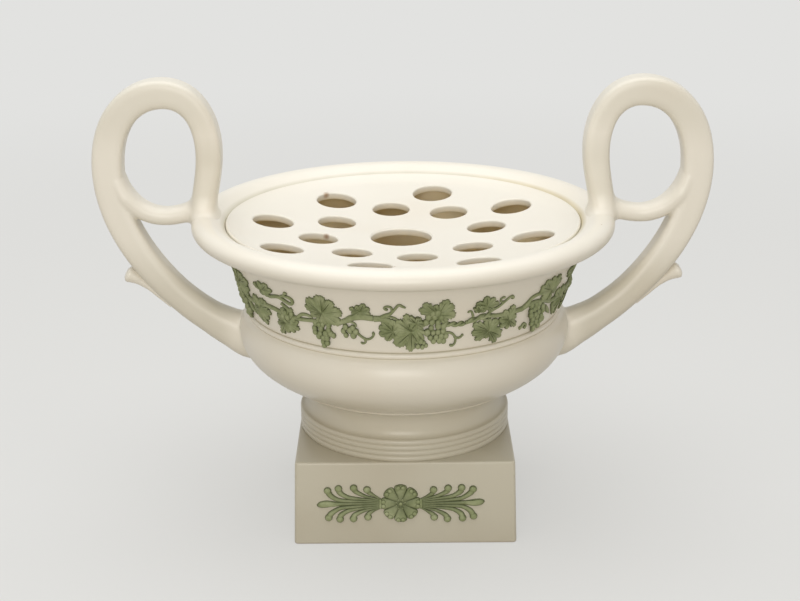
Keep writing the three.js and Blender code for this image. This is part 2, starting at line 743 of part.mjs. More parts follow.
function palmetteLobe(index) {
  const level = Math.abs(index);
  const side = Math.sign(index);
  const reach = palmetteLength * (level === 0 ? 1 : palmetteFirstLobe - (level - 1) * palmetteLobeStep);
  const { rootRise, middle, middleRise, late, lateRise } = palmetteLobeCurve;
  return new THREE.CubicBezierCurve(
    new THREE.Vector2(0, side * level * rootRise),
    new THREE.Vector2(reach * middle, side * level * middleRise),
    new THREE.Vector2(reach * late, side * lateRise),
    new THREE.Vector2(reach, side * palmetteLobeRise),
  );
}

function palmetteGeometry() {
  const half = (palmetteLobes - 1) / 2;
  const points = [new THREE.Vector2(0, -palmetteLobeHalfWidth * 2)];
  for (let i = -half; i <= half; i += 1) {
    const lobe = palmetteLobe(i);
    const besides = (t, side) => {
      const along = lobe.getTangent(t);
      const place = lobe.getPoint(t);
      const out = side * palmetteLobeHalfWidth;
      return new THREE.Vector2(place.x + along.y * out, place.y - along.x * out);
    };
    points.push(besides(0.75, 1), besides(1, 1), besides(1, -1), besides(0.75, -1));
    if (i < half) points.push(palmetteLobe(i + 1).getPoint(0.5).lerp(lobe.getPoint(0.5), 0.5));
  }
  points.push(new THREE.Vector2(0, palmetteLobeHalfWidth * 2));
  return raised(new THREE.Shape(points), ornamentThickness);
}

// Assembly
const pot = new THREE.Group();

function addPiece(parent, name, geometry, finish) {
  const mesh = new THREE.Mesh(geometry, new THREE.MeshStandardMaterial(finish));
  mesh.name = name;
  parent.add(mesh);
  return mesh;
}

addPiece(pot, 'plinth', plinthGeometry(), creamGlaze);
addPiece(pot, 'foot', footGeometry(), creamGlaze);
addPiece(pot, 'bowl', bowlGeometry(), creamGlaze);
addPiece(pot, 'pierced_cover', coverGeometry(), creamGlaze);

const handle = handleGeometry();
const spur = spurGeometry();
for (const [side, turn] of [['right', 0], ['left', Math.PI]]) {
  const group = new THREE.Group();
  group.rotation.z = turn;
  addPiece(group, `handle_${side}`, handle, creamGlaze);
  addPiece(group, `handle_spur_${side}`, spur, creamGlaze);
  pot.add(group);
}

for (const sprig of sprigs) {
  const geometry = sprigGeometry(sprig);
  for (let i = 0; i < garlandRepeats; i += 1) {
    const mesh = addPiece(pot, `vine_sprig_${sprig.name}_${i + 1}`, geometry, greenClay);
    mesh.rotation.z = i * 2 * Math.PI / garlandRepeats;
  }
}

const rosette = rosetteGeometry();
const palmette = palmetteGeometry();
['front', 'right', 'back', 'left'].forEach((side, i) => {
  const turnedFace = new THREE.Group();
  turnedFace.rotation.z = i * Math.PI / 2;
  const face = new THREE.Group();
  const lean = Math.atan2(plinthDraft, plinthHeight);
  const faceInset = plinthWidth / 2 + plinthDraft * (1 - ornamentRise / plinthHeight) + jointGap;
  face.position.set(0, -faceInset, ornamentRise);
  face.rotation.x = Math.PI / 2 - lean;
  addPiece(face, `rosette_${side}`, rosette, greenClay);
  for (const [end, turn] of [['right', 0], ['left', Math.PI]]) {
    const mesh = addPiece(face, `palmette_${side}_${end}`, palmette, greenClay);
    mesh.rotation.z = turn;
    mesh.position.x = Math.cos(turn) * (rosetteRadius + jointGap);
  }
  turnedFace.add(face);
  pot.add(turnedFace);
});

export default pot;
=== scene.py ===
import math
import random

import bmesh
import bpy
import numpy as np
from mathutils import Matrix, Vector


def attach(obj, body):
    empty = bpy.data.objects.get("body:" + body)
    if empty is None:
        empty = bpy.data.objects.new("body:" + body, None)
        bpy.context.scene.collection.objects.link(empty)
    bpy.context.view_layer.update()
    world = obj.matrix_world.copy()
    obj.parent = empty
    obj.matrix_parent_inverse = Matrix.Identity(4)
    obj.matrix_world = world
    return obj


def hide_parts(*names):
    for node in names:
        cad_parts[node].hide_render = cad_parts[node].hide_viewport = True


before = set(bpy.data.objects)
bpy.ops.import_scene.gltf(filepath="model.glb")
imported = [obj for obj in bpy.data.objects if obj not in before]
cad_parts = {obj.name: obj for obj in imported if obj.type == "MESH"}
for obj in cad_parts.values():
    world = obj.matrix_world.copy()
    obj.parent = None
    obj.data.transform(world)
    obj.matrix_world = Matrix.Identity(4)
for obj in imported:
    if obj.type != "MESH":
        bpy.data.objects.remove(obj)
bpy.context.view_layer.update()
mm = 0.001
print("the packed pot is loaded:", len(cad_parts), "nodes")

# Camera and room
cameraPlace = {
    "position": (-1.77, -727.2, 353.8),
    "target": (-1.77, 0, 104.84),
    "roll": -0.45,
    "lens": 70.7,
    "sensor": 36,
}


def placeCamera(place):
    start = Vector(place["position"]) * mm
    aim = Vector(place["target"]) * mm - start
    bpy.ops.object.camera_add(location=start)
    camera = bpy.context.object
    camera.name = "camera"
    turn = aim.to_track_quat("-Z", "Y").to_matrix() @ Matrix.Rotation(math.radians(place["roll"]), 3, "Z")
    camera.rotation_euler = turn.to_euler()
    camera.data.lens = place["lens"]
    camera.data.sensor_width = place["sensor"]
    camera.data.clip_start = 0.01
    camera.data.clip_end = 20
    bpy.context.scene.camera = camera


placeCamera(cameraPlace)


# Small helpers for all pieces
def clearSelection():
    if bpy.context.object and bpy.context.object.mode != "OBJECT":
        bpy.ops.object.mode_set(mode="OBJECT")
    bpy.ops.object.select_all(action="DESELECT")


def makeActive(piece):
    clearSelection()
    piece.select_set(True)
    bpy.context.view_layer.objects.active = piece


def placeApplied(piece, name):
    piece.name = name
    piece.data.name = name
    bpy.ops.object.transform_apply(location=True, rotation=True, scale=True)
    return piece


def joinPieces(pieces, name):
    clearSelection()
    for piece in pieces:
        piece.select_set(True)
    bpy.context.view_layer.objects.active = pieces[0]
    if len(pieces) > 1:
        bpy.ops.object.join()
    joined = bpy.context.object
    joined.name = name
    joined.data.name = name
    return joined


def copyPiece(piece, name, turn):
    copied = piece.copy()
    copied.data = piece.data.copy()
    copied.name = name
    copied.data.name = name
    bpy.context.scene.collection.objects.link(copied)
    copied.data.transform(turn)
    copied.data.update()
    return copied


def applyModifier(piece, kind, **values):
    makeActive(piece)
    modifier = piece.modifiers.new(kind.title(), kind)
    for key, value in values.items():
        setattr(modifier, key, value)
    bpy.ops.object.modifier_apply(modifier=modifier.name)


def facesOutwards(piece, mergeGap=0.002):
    makeActive(piece)
    bpy.ops.object.mode_set(mode="EDIT")
    bpy.ops.mesh.select_mode(type="VERT")
    bpy.ops.mesh.select_all(action="SELECT")
    bpy.ops.mesh.remove_doubles(threshold=mergeGap * mm)
    bpy.ops.mesh.normals_make_consistent(inside=False)
    bpy.ops.object.mode_set(mode="OBJECT")


def smoothByAngle(piece, degrees):
    makeActive(piece)
    bpy.ops.object.shade_smooth_by_angle(angle=math.radians(degrees))


# In edit mode: the faces or edges that pass the test are selected, all others aren't
def selectWhere(piece, kind, test):
    bpy.ops.mesh.select_mode(type=kind)
    bm = bmesh.from_edit_mesh(piece.data)
    for element in bm.faces if kind == "FACE" else bm.edges:
        element.select_set(test(element))
    bmesh.update_edit_mesh(piece.data)


def bezierPoints(a, b, c, d, count):
    points = []
    for i in range(1, count + 1):
        t = i / count
        s = 1 - t
        points.append(tuple(
            s ** 3 * p + 3 * s * s * t * q + 3 * s * t * t * r + t ** 3 * w
            for p, q, r, w in zip(a, b, c, d)
        ))
    return points


# A smooth run through points; before and after steer how it starts and ends
def smoothRun(before, points, after, count):
    padded = [np.array(point, float) for point in (before, *points, after)]
    run = [padded[1]]
    for a, b, c, d in zip(padded, padded[1:], padded[2:], padded[3:]):
        run += [np.array(p) for p in bezierPoints(b, b + (c - a) / 6, c - (d - b) / 6, c, count)]
    return run


def arcPoints(centre, radius, start, end, count):
    angles = [math.radians(start + (end - start) * i / count) for i in range(count + 1)]
    return [(centre[0] + radius * math.cos(a), centre[1] + radius * math.sin(a)) for a in angles]


def places(piece):
    found = np.zeros(len(piece.data.vertices) * 3)
    piece.data.vertices.foreach_get("co", found)
    return found.reshape(-1, 3)


def setPlaces(piece, found):
    piece.data.vertices.foreach_set("co", found.ravel())
    piece.data.update()


def between(a, b, share):
    return a + (b - a) * share


def smoothStep(low, high, value):
    share = np.clip((value - low) / (high - low), 0, 1)
    return share * share * (3 - 2 * share)


# A single vertex is extruded along the outline of radius and height, and the outline is spun about Z
def turnedPiece(name, outline, steps=160):
    clearSelection()
    start = outline[0]
    bpy.ops.mesh.primitive_plane_add(size=0.2 * mm, location=(start[0] * mm, 0, start[1] * mm))
    piece = placeApplied(bpy.context.object, name)
    bpy.ops.object.mode_set(mode="EDIT")
    bpy.ops.mesh.select_mode(type="VERT")
    bpy.ops.mesh.select_all(action="SELECT")
    bpy.ops.mesh.merge(type="CENTER")
    for here, there in zip(outline, outline[1:]):
        step = ((there[0] - here[0]) * mm, 0, (there[1] - here[1]) * mm)
        bpy.ops.mesh.extrude_vertices_move(TRANSFORM_OT_translate={"value": step})
    bpy.ops.mesh.select_all(action="SELECT")
    bpy.ops.mesh.remove_doubles(threshold=0.002 * mm)
    bpy.ops.mesh.spin(steps=steps, angle=math.tau, center=(0, 0, 0), axis=(0, 0, 1))
    bpy.ops.object.mode_set(mode="OBJECT")
    facesOutwards(piece)
    return piece


# Bowl: swelling belly, bead between two incised lines, flaring wall and rolled lip
bowlSizes = {
    "bottom": 69.4,
    "bottomRadius": 59.1,
    "bottomEdge": 0.9,
    "bellyRadius": 80.1,
    "bellyRise": 24.6,
    "waistRadius": 75.8,
    "waistRise": 33.2,
    "lowLine": (0.7, 0.7),
    "highLine": (1, 1.15),
    "beadHeight": 2.0,
    "beadDepth": 0.6,
    "friezeHeight": 32.9,
    "wallTopRadius": 88.9,
    "wallMidRadius": 79.2,
    "wallHollow": 2.6,
    "underLip": [(90.1, 140.9), (91.2, 0.3)],
    "lipRadius": 94.6,
    "lipHalf": (6.5, 4.9),
    "lipCrest": 151.3,
    "recessRadius": 85.2,
    "recessSlope": 0.7,
    "ledgeHeight": 140.2,
    "ledgeWidth": 4.6,
    "wall": 5.5,
    "floor": 6,
    "segments": 176,
}
beadBottom = bowlSizes["bottom"] + bowlSizes["waistRise"] + bowlSizes["lowLine"][0]
friezeBottom = beadBottom + bowlSizes["beadHeight"] + bowlSizes["highLine"][0]
friezeTop = friezeBottom + bowlSizes["friezeHeight"]


def wallPoints(count=24):
    waist, middle, top = (bowlSizes[key] for key in ("waistRadius", "wallMidRadius", "wallTopRadius"))
    return [(waist, friezeBottom)] + bezierPoints(
        (waist, friezeBottom),
        (middle, between(friezeBottom, friezeTop, 0.33)),
        ((middle + top) / 2 - bowlSizes["wallHollow"], between(friezeBottom, friezeTop, 0.73)),
        (top, friezeTop),
        count,
    )


# A soft round-bottomed line cut into the wall
def linePoints(radius, low, size):
    height, depth = size
    shares = [(0, 0), (0.1, 0.1), (0.22, 0.55), (0.36, 0.92), (0.5, 1), (0.64, 0.92), (0.78, 0.55), (0.9, 0.1)]
    shares.append((1, 0))
    return [(radius - depth * deep, low + height * up) for up, deep in shares]


def bowlOutside():
    s = bowlSizes
    bellyHeight = s["bottom"] + s["bellyRise"]
    waistHeight = s["bottom"] + s["waistRise"]
    edge = s["bottomEdge"]
    points = arcPoints((s["bottomRadius"] - edge, s["bottom"] + edge), edge, -90, -20, 5)
    points += bezierPoints(
        points[-1],
        (between(s["bottomRadius"], s["bellyRadius"], 0.42), s["bottom"] + s["bellyRise"] * 0.17 + 0.4),
        (s["bellyRadius"], s["bottom"] + s["bellyRise"] * 0.51),
        (s["bellyRadius"], bellyHeight),
        20,
    )
    points += bezierPoints(
        (s["bellyRadius"], bellyHeight),
        (s["bellyRadius"], between(bellyHeight, waistHeight, 0.5)),
        (between(s["waistRadius"], s["bellyRadius"], 0.6), between(bellyHeight, waistHeight, 0.85)),
        (s["waistRadius"], waistHeight),
        10,
    )
    points += linePoints(s["waistRadius"], waistHeight, s["lowLine"])[1:]
    for i in range(1, 9):
        share = i / 8
        bulge = math.sin(math.pi * share) ** 0.7
        points.append((s["waistRadius"] + s["beadDepth"] * bulge, beadBottom + s["beadHeight"] * share))
    points += linePoints(s["waistRadius"], beadBottom + s["beadHeight"], s["highLine"])[1:]
    points += wallPoints()[1:-1]
    halfWidth, halfHeight = s["lipHalf"]
    lip = [
        (s["lipRadius"] + halfWidth * x, s["lipCrest"] - halfHeight + halfHeight * z)
        for x, z in arcPoints((0, 0), 1, -105, 130, 30)
    ]
    under, (besideRadius, above) = s["underLip"]
    points += bezierPoints(points[-1], under, (besideRadius, lip[0][1] + above), lip[0], 7)
    return points + lip[1:]


def bowlOutline():
    s = bowlSizes
    outside = bowlOutside()
    slopeEnd = outside[-1]
    recess = s["recessRadius"]
    recessTop = (recess, slopeEnd[1] - (slopeEnd[0] - recess) * s["recessSlope"])
    ledgeRadius = recess - s["ledgeWidth"]
    bellyHeight = s["bottom"] + s["bellyRise"]
    insideWaist = s["waistRadius"] - s["wall"]
    insideBelly = s["bellyRadius"] - s["wall"]
    floorHeight = s["bottom"] + s["floor"]
    ledge = s["ledgeHeight"]
    points = [(0, s["bottom"]), (20, s["bottom"]), (45, s["bottom"])] + outside
    points += [
        (between(slopeEnd[0], recessTop[0], 0.5), between(slopeEnd[1], recessTop[1], 0.5)),
        (recess + 0.35, recessTop[1] + 0.2),
        (recess + 0.08, recessTop[1] - 0.15),
        (recess, recessTop[1] - 0.6),
        (recess, ledge + 0.5),
        (recess - 0.15, ledge + 0.15),
        (recess - 0.5, ledge),
        (ledgeRadius + 0.5, ledge),
        (ledgeRadius + 0.12, ledge - 0.14),
        (ledgeRadius, ledge - 0.5),
    ]
    points += bezierPoints(
        (ledgeRadius, ledge - 0.5),
        (ledgeRadius - 1, between(ledge, friezeBottom, 0.35)),
        (insideWaist, between(ledge, friezeBottom, 0.6)),
        (insideWaist, friezeBottom),
        12,
    )
    points += bezierPoints(
        (insideWaist, friezeBottom),
        (insideWaist, between(friezeBottom, bellyHeight, 0.5)),
        (insideBelly, between(friezeBottom, bellyHeight, 0.7)),
        (insideBelly, bellyHeight),
        8,
    )
    points += bezierPoints(
        (insideBelly, bellyHeight),
        (insideBelly, between(floorHeight, bellyHeight, 0.4)),
        (s["bottomRadius"] + 5, floorHeight),
        (s["bottomRadius"] - 9, floorHeight),
        14,
    )
    points += [(30, floorHeight), (12, floorHeight), (0, floorHeight)]
    return points


bowl = turnedPiece("glazedBowl", bowlOutline(), bowlSizes["segments"])
smoothByAngle(bowl, 38)
print("bowl turned")

# Foot: reeded ring with a hollow moulding above the reeds
footSizes = {
    "bottom": 42,
    "height": 27.4,
    "radius": 51.7,
    "bore": 41,
    "reeds": 4,
    "reedHeight": 2.7,
    "reedDepth": 0.7,
    "neckRadius": 47.6,
    "neckRise": 4.5,
    "topRadius": 58.5,
    "topEdge": 0.8,
    "segments": 144,
}


def footOutline():
    s = footSizes
    low, top = s["bottom"], s["bottom"] + s["height"]
    reedBase = s["radius"] - s["reedDepth"]
    points = [(s["bore"], low), (reedBase - 0.3, low)]
    for i in range(s["reeds"]):
        for j in range(9):
            share = j / 8
            bulge = math.sin(math.pi * share) ** 0.6
            points.append((reedBase + s["reedDepth"] * bulge, low + (i + share) * s["reedHeight"]))
        points.append((reedBase - 0.12, low + (i + 1) * s["reedHeight"] + 0.001))
    reedTop = low + s["reeds"] * s["reedHeight"]
    neck = s["neckRadius"]
    points += bezierPoints(
        (reedBase, reedTop),
        (between(reedBase, neck, 0.67), reedTop),
        (neck, between(reedTop, reedTop + s["neckRise"], 0.33)),
        (neck, reedTop + s["neckRise"]),
        8,
    )
    points += bezierPoints(
        (neck, reedTop + s["neckRise"]),
        (neck, between(reedTop + s["neckRise"], top, 0.5)),
        (between(neck, s["topRadius"], 0.45), top - 2),
        (s["topRadius"] - 0.25, top - s["topEdge"]),
        12,
    )
    radius, bore = s["topRadius"], s["bore"]
    points += [(radius, top - s["topEdge"] * 0.6), (radius - 0.2, top - 0.12), (radius - 0.6, top)]
    points += [(50, top), (bore, top), (bore, (low + top) / 2), (bore, low)]
    return points


foot = turnedPiece("reededFoot", footOutline(), footSizes["segments"])
smoothByAngle(foot, 38)
print("foot turned")

# Plinth: square block, hollow and open underneath, with a round vent in its top
plinthSizes = {
    "width": 104,
    "height": 42,
    "draft": 1.2,
    "cornerRound": 1.7,
    "edgeRound": 1,
    "wall": 6,
    "topThickness": 7,
    "vent": 12,
}


def modelPlinth(name):
    s = plinthSizes
    clearSelection()
    bpy.ops.mesh.primitive_cube_add(size=1, location=(0, 0, s["height"] / 2 * mm))
    bpy.context.object.scale = (s["width"] * mm, s["width"] * mm, s["height"] * mm)
    piece = placeApplied(bpy.context.object, name)
    rise = lambda edge: abs(edge.verts[0].co.z - edge.verts[1].co.z) / mm
    bordersFlat = lambda edge: len([face for face in edge.link_faces if abs(face.normal.z) > 0.9]) == 1
    bpy.ops.object.mode_set(mode="EDIT")
    selectWhere(piece, "FACE", lambda face: face.normal.z < -0.5)
    spread = 1 + 2 * s["draft"] / s["width"]
    bpy.ops.transform.resize(value=(spread, spread, 1), center_override=(0, 0, 0))
    selectWhere(piece, "EDGE", lambda edge: rise(edge) > 1)
    bpy.ops.mesh.bevel(offset=s["cornerRound"] * mm, segments=6, affect="EDGES")
    selectWhere(piece, "EDGE", lambda edge: rise(edge) < 0.01 and bordersFlat(edge))
    bpy.ops.mesh.bevel(offset=s["edgeRound"] * mm, segments=4, affect="EDGES")
    selectWhere(piece, "FACE", lambda face: face.normal.z < -0.98)
    bpy.ops.mesh.inset(thickness=(s["wall"] - s["edgeRound"]) * mm)
    hollow = (0, 0, (s["height"] - s["topThickness"]) * mm)
    bpy.ops.mesh.extrude_region_move(TRANSFORM_OT_translate={"value": hollow})
    bpy.ops.object.mode_set(mode="OBJECT")
    bpy.ops.mesh.primitive_cylinder_add(
        vertices=64, radius=s["vent"] * mm, depth=(s["topThickness"] + 2) * mm,
        location=(0, 0, (s["height"] - s["topThickness"] / 2) * mm),
    )
    cutter = placeApplied(bpy.context.object, "ventCutter")
    applyModifier(piece, "BOOLEAN", object=cutter, operation="DIFFERENCE", solver="EXACT")
    bpy.data.objects.remove(cutter)
    # The inset follows the edge's slope a little below the ground, so the rim is set flat on it
    standing = places(piece)
    standing[:, 2] = np.maximum(standing[:, 2], 0)
    setPlaces(piece, standing)
    facesOutwards(piece)
    smoothByAngle(piece, 40)
    return piece


plinth = modelPlinth("squarePlinth")
print("plinth shaped")

# Cover: dished disc with rings of holes, each with a soft lip
coverSizes = {
    "radius": 84.95,
    "thickness": 5.5,
    "dish": 8.4,
    "edgeHeight": 145.7,
    "edgeRound": 1,
    "edgeRise": 1.7,
    "riseFrom": 76,
    "thinning": 1.9,
    "seatInner": 80.6,
    "holeLip": 0.7,
    "holeRings": (2.4, 1.8, 1.2),
    "segments": 160,
    "holeSegments": 64,
    "rustSpots": [(-39.7, 60.1, 142.2, 2.4), (-37, 0.9, 137.5, 2.1), (-5.1, -61.3, 141.5, 1.9)],
    "holes": [(0, 0, 14.6)]
    + [(40.6, 9.1 + 45 * i, 9.3) for i in range(8)]
    + [(64.4, 31.5 + 45 * i, 10) for i in range(8)],
    "offsets": [
        (-0.9, -0.6), (0.5, 3.5), (-0.8, 3.2), (0.5, 2.4), (0.3, -3), (-0.4, -1.3), (0.1, 2.3), (0, 1.4), (-0.4, 0.6),
        (-0.5, 2.3), (0.4, 0.2), (-0.2, -3.3), (-0.8, -2.4), (-1.1, 0.4), (0.1, 3.4), (0.1, -0.8), (-1.3, -1.2),
    ],
}


def dishDrop(radius):
    return coverSizes["dish"] * (1 - (radius / coverSizes["radius"]) ** 2)


def coverTop(radius):
    s = coverSizes
    return s["edgeHeight"] - dishDrop(radius) + s["edgeRise"] * smoothStep(s["riseFrom"], s["radius"], radius)


def coverOutline():
    s = coverSizes
    top, under = s["edgeHeight"] + s["edgeRise"], s["edgeHeight"] - s["thickness"]
    edge = s["edgeRound"]
    points = []
    for i in range(33):
        radius = (s["seatInner"] - 1) * i / 32
        thinning = s["thinning"] * (1 - smoothStep(s["seatInner"] - 5, s["seatInner"] - 1, radius))
        points.append((radius, under - dishDrop(radius) + thinning))
    points += [(s["seatInner"], under), (s["radius"] - 0.5, under), (s["radius"], under + 0.5)]
    points += arcPoints((s["radius"] - edge, top - edge), edge, 0, 80, 5)
    for i in range(34):
        radius = (s["radius"] - edge - 0.15) * (1 - i / 33)
        points.append((radius, coverTop(radius)))
    return points


# The cutter flares where it leaves the clay, so each hole gets a rounded lip
def holeCutter(radius, level, name):
    s = coverSizes
    lip = s["holeLip"]
    thickness = s["thickness"] - s["thinning"]
    low, high = level - s["thickness"] - 2.2, level + 2.6
    outline = [(0, low), (radius + lip * 0.6, low), (radius + lip * 0.6, level - thickness - 0.1)]
    outline += [(radius + lip * 0.25, level - thickness + 0.2), (radius, level - thickness + 0.6)]
    outline += [(radius, level - below) for below in s["holeRings"]]
    for angle in map(math.radians, (10, 25, 40, 55, 70)):
        outline.append((radius + lip - lip * math.cos(angle), level - lip * 0.96 + lip * math.sin(angle)))
    outline += [(radius + lip * 1.02, level + 0.2), (radius + lip * 1.05, high), (0, high)]
    return turnedPiece(name, outline, s["holeSegments"])


def modelCover(name):
    s = coverSizes
    piece = turnedPiece(name, coverOutline(), s["segments"])
    cutters = []
    for (circle, degrees, radius), (right, back) in zip(s["holes"], s["offsets"]):
        x = circle * math.cos(math.radians(degrees)) + right
        y = circle * math.sin(math.radians(degrees)) + back
        circle, turn = math.hypot(x, y), math.atan2(y, x)
        level = float(coverTop(circle))
        cutter = holeCutter(radius, level, "holeCutter")
        slope = math.atan(float(coverTop(circle + 9) - coverTop(circle - 9)) / 18) if circle > 9 else 0
        centre = Matrix.Translation((0, 0, level * mm))
        tilt = Matrix.Rotation(turn, 4, "Z") @ Matrix.Rotation(-slope, 4, "Y") @ Matrix.Rotation(-turn, 4, "Z")
        cutter.data.transform(Matrix.Translation((x * mm, y * mm, 0)) @ centre @ tilt @ centre.inverted())
        cutters.append(cutter)
    allCutters = joinPieces(cutters, "holeCutters")
    applyModifier(piece, "BOOLEAN", object=allCutters, operation="DIFFERENCE", solver="EXACT")
    bpy.data.objects.remove(allCutters)
    facesOutwards(piece)
    smoothByAngle(piece, 38)
    return piece


cover = modelCover("piercedCover")
print("cover pierced:", len(cover.data.polygons), "faces")

# Handles: a strap that rises from the belly, rolls into a loop and lands on the lip
handleSizes = {
    "root": (76.0, 86.2),
    "side": (139.9, 172.0),
    "top": (112.5, 208.4),
    "limb": (91.6, 180.0),
    "foot": (95.7, 144.8),
    "leadIn": 14,
    "strapSteps": [
        (0, 14.2, 9.8), (0.05, 12.1, 9.4), (0.09, 9.3, 8.4), (0.14, 7.6, 7.8), (0.22, 7.0, 7.5), (0.3, 7.0, 7.4),
        (0.45, 7.2, 7.4), (0.6, 7.35, 7.4), (0.7, 6.9, 7.4), (0.78, 6.15, 7.3), (0.88, 6.1, 7.5), (0.94, 6.0, 8.6),
        (0.97, 5.8, 10), (1, 5.6, 12),
    ],
    "rootLift": 2,
    "squareSteps": [(0, 2.4), (0.2, 2.8), (0.4, 5), (0.85, 5), (1, 3)],
    "curl": [(137, 174), (136.2, 163), (131, 153.5), (120, 149.9), (112.5, 147.6), (105, 149.5), (96, 153.5)],
    "curlSteps": [(0, 3.6, 6.4), (0.12, 4.3, 7.5), (0.3, 4.5, 8), (0.45, 4.4, 7), (0.7, 4.3, 6), (1, 4.5, 6.4)],
    "voxel": 0.62,
    "sectorHalfAngle": 24,
    "sectorInside": [(85.6, 145.4), (88, 140), (84, 130), (77, 118), (71.5, 106), (75, 94), (68, 82), (52, 74)],
    "skinEnd": (85.2, 146.5),
    "sunk": 0.16,
    "sunkReach": 0.7,
    "cutShare": 0.78,
    "junctions": [((97, 153), 14, 24, 1), ((84, 101), 12, 24, 0.8), ((82, 88), 8, 20, 0.6)],
    "fillRounds": 220,
    "recessEdge": (85.5, 87.5),
    "smoothRounds": (6, 10),
}


def strapRoute():
    s = handleSizes
    root, side, top, limb, foot = (s[key] for key in ("root", "side", "top", "limb", "foot"))
    root = (root[0], root[1] + s["rootLift"])
    reach, rise = side[0] - root[0], side[1] - root[1]
    route = [(root[0] - s["leadIn"], root[1] - 1), root]
    route += bezierPoints(
        root, (root[0] + reach * 0.47, root[1] + rise * 0.125), (side[0], root[1] + rise * 0.56), side, 60,
    )
    route += bezierPoints(
        side, (side[0], between(side[1], top[1], 0.62)), (between(top[0], side[0], 0.57), top[1]), top, 40,
    )
    route += bezierPoints(
        top, (between(top[0], limb[0], 0.66), top[1]), (limb[0], between(limb[1], top[1], 0.55)), limb, 40,
    )
    route += bezierPoints(
        limb, (limb[0], between(limb[1], foot[1], 0.35)), (foot[0], between(limb[1], foot[1], 0.59)), foot, 30,
    )
    return route


# A filled ring of vertices is extruded from ring to ring; each vertex keeps its number on the way
def loftedPiece(name, rings, closeTip=False):
    clearSelection()
    bpy.ops.mesh.primitive_circle_add(vertices=len(rings[0]), radius=mm, fill_type="NGON")
    piece = placeApplied(bpy.context.object, name)
    bpy.ops.object.mode_set(mode="EDIT")
    bpy.ops.mesh.select_mode(type="FACE")
    bpy.ops.mesh.select_all(action="SELECT")
    bm = bmesh.from_edit_mesh(piece.data)
    number = bm.verts.layers.int.new("number")
    for i, vertex in enumerate(bm.verts):
        vertex[number] = i
        vertex.co = rings[0][i] * mm
    for ring in rings[1:]:
        bpy.ops.mesh.extrude_region_move()
        bm = bmesh.from_edit_mesh(piece.data)
        number = bm.verts.layers.int["number"]
        for vertex in bm.verts:
            if vertex.select:
                vertex.co = ring[vertex[number]] * mm
    if closeTip:
        bpy.ops.mesh.merge(type="CENTER")
    bm = bmesh.from_edit_mesh(piece.data)
    bm.verts.layers.int.remove(bm.verts.layers.int["number"])
    bmesh.update_edit_mesh(piece.data)
    bpy.ops.object.mode_set(mode="OBJECT")
    facesOutwards(piece)
    return piece


# Rings for loftedPiece along a route in the plane y = 0; lift moves a ring's middle towards -Y
def sweptRings(route, halfSizes, stations, sides=24, squareness=2.6, lift=lambda share: 0):
    route = np.array(route, float)
    steps = np.hypot(*np.diff(route, axis=0).T)
    along = np.concatenate([[0], np.cumsum(steps)])
    shares = along / along[-1]
    angles = (np.arange(sides) + 0.5) * math.tau / sides
    rings = []
    for i in range(stations + 1):
        share = i / stations
        x, z = np.interp(share, shares, route[:, 0]), np.interp(share, shares, route[:, 1])
        back, front = (min(max(share + step, 0), 1) for step in (-0.006, 0.006))
        forward = np.array([np.interp(front, shares, run) - np.interp(back, shares, run) for run in route.T])
        forward /= np.hypot(*forward)
        halfWidth, halfDepth = halfSizes(share)
        power = 2 / (squareness(share) if callable(squareness) else squareness)
        across = np.sign(np.cos(angles)) * np.abs(np.cos(angles)) ** power
        deep = np.sign(np.sin(angles)) * np.abs(np.sin(angles)) ** power
        rings.append(np.stack([
            x + forward[1] * across * halfWidth,
            deep * halfDepth - lift(share),
            z - forward[0] * across * halfWidth,
        ], axis=1))
    return rings


# Signed distance in mm from the bowl's outer skin, and the skin's outward direction there
skinLine = np.array(bowlOutside() + [handleSizes["skinEnd"]])


def distanceFromSkin(where):
    radius = np.hypot(where[:, 0], where[:, 1]) / mm
    height = where[:, 2] / mm
    point = np.stack([radius, height], axis=1)
    best = np.full(len(point), 1e9)
    foot = np.zeros_like(point)
    for a, b in zip(skinLine[:-1], skinLine[1:]):
        side = b - a
        share = np.clip(((point - a) @ side) / max(side @ side, 1e-12), 0, 1)
        nearest = a + share[:, None] * side
        gap = np.hypot(*(point - nearest).T)
        closer = gap < best
        best[closer] = gap[closer]
        foot[closer] = nearest[closer]
    polygon = np.vstack([[(0, skinLine[0, 1])], skinLine, [(0, skinLine[-1, 1])]])
    inside = np.zeros(len(point), bool)
    for a, b in zip(polygon, np.roll(polygon, -1, axis=0)):
        crosses = (a[1] > height) != (b[1] > height)
        if a[1] == b[1]:
            continue
        inside ^= crosses & (radius < (b[0] - a[0]) * (height - a[1]) / (b[1] - a[1]) + a[0])
    out = (point - foot) / np.maximum(best, 1e-6)[:, None]
    out[inside] *= -1
    return np.where(inside, -best, best), out


# The part of the bowl's wall behind a handle, so that the clay can be blended into it
def bowlSector(name):
    outline = bowlOutside() + handleSizes["sectorInside"]
    clearSelection()
    bpy.ops.mesh.primitive_circle_add(vertices=len(outline), radius=mm, fill_type="NGON")
    piece = placeApplied(bpy.context.object, name)
    turn = math.radians(-handleSizes["sectorHalfAngle"])
    for vertex, (radius, height) in zip(piece.data.vertices, outline):
        vertex.co = (radius * math.cos(turn) * mm, radius * math.sin(turn) * mm, height * mm)
    bpy.ops.object.mode_set(mode="EDIT")
    bpy.ops.mesh.select_mode(type="FACE")
    bpy.ops.mesh.select_all(action="SELECT")
    bpy.ops.mesh.spin(steps=24, angle=2 * turn, center=(0, 0, 0), axis=(0, 0, 1))
    bpy.ops.object.mode_set(mode="OBJECT")
    facesOutwards(piece)
    return piece


# Half width and half depth along a route; without a third column the depth is a share of the width
def halfSizesFrom(steps, depth=1):
    table = np.array(steps, float)
    width = lambda share: np.interp(share, table[:, 0], table[:, 1])
    if table.shape[1] == 2:
        return lambda share: (width(share), width(share) * depth)
    return lambda share: (width(share), np.interp(share, table[:, 0], table[:, 2]))


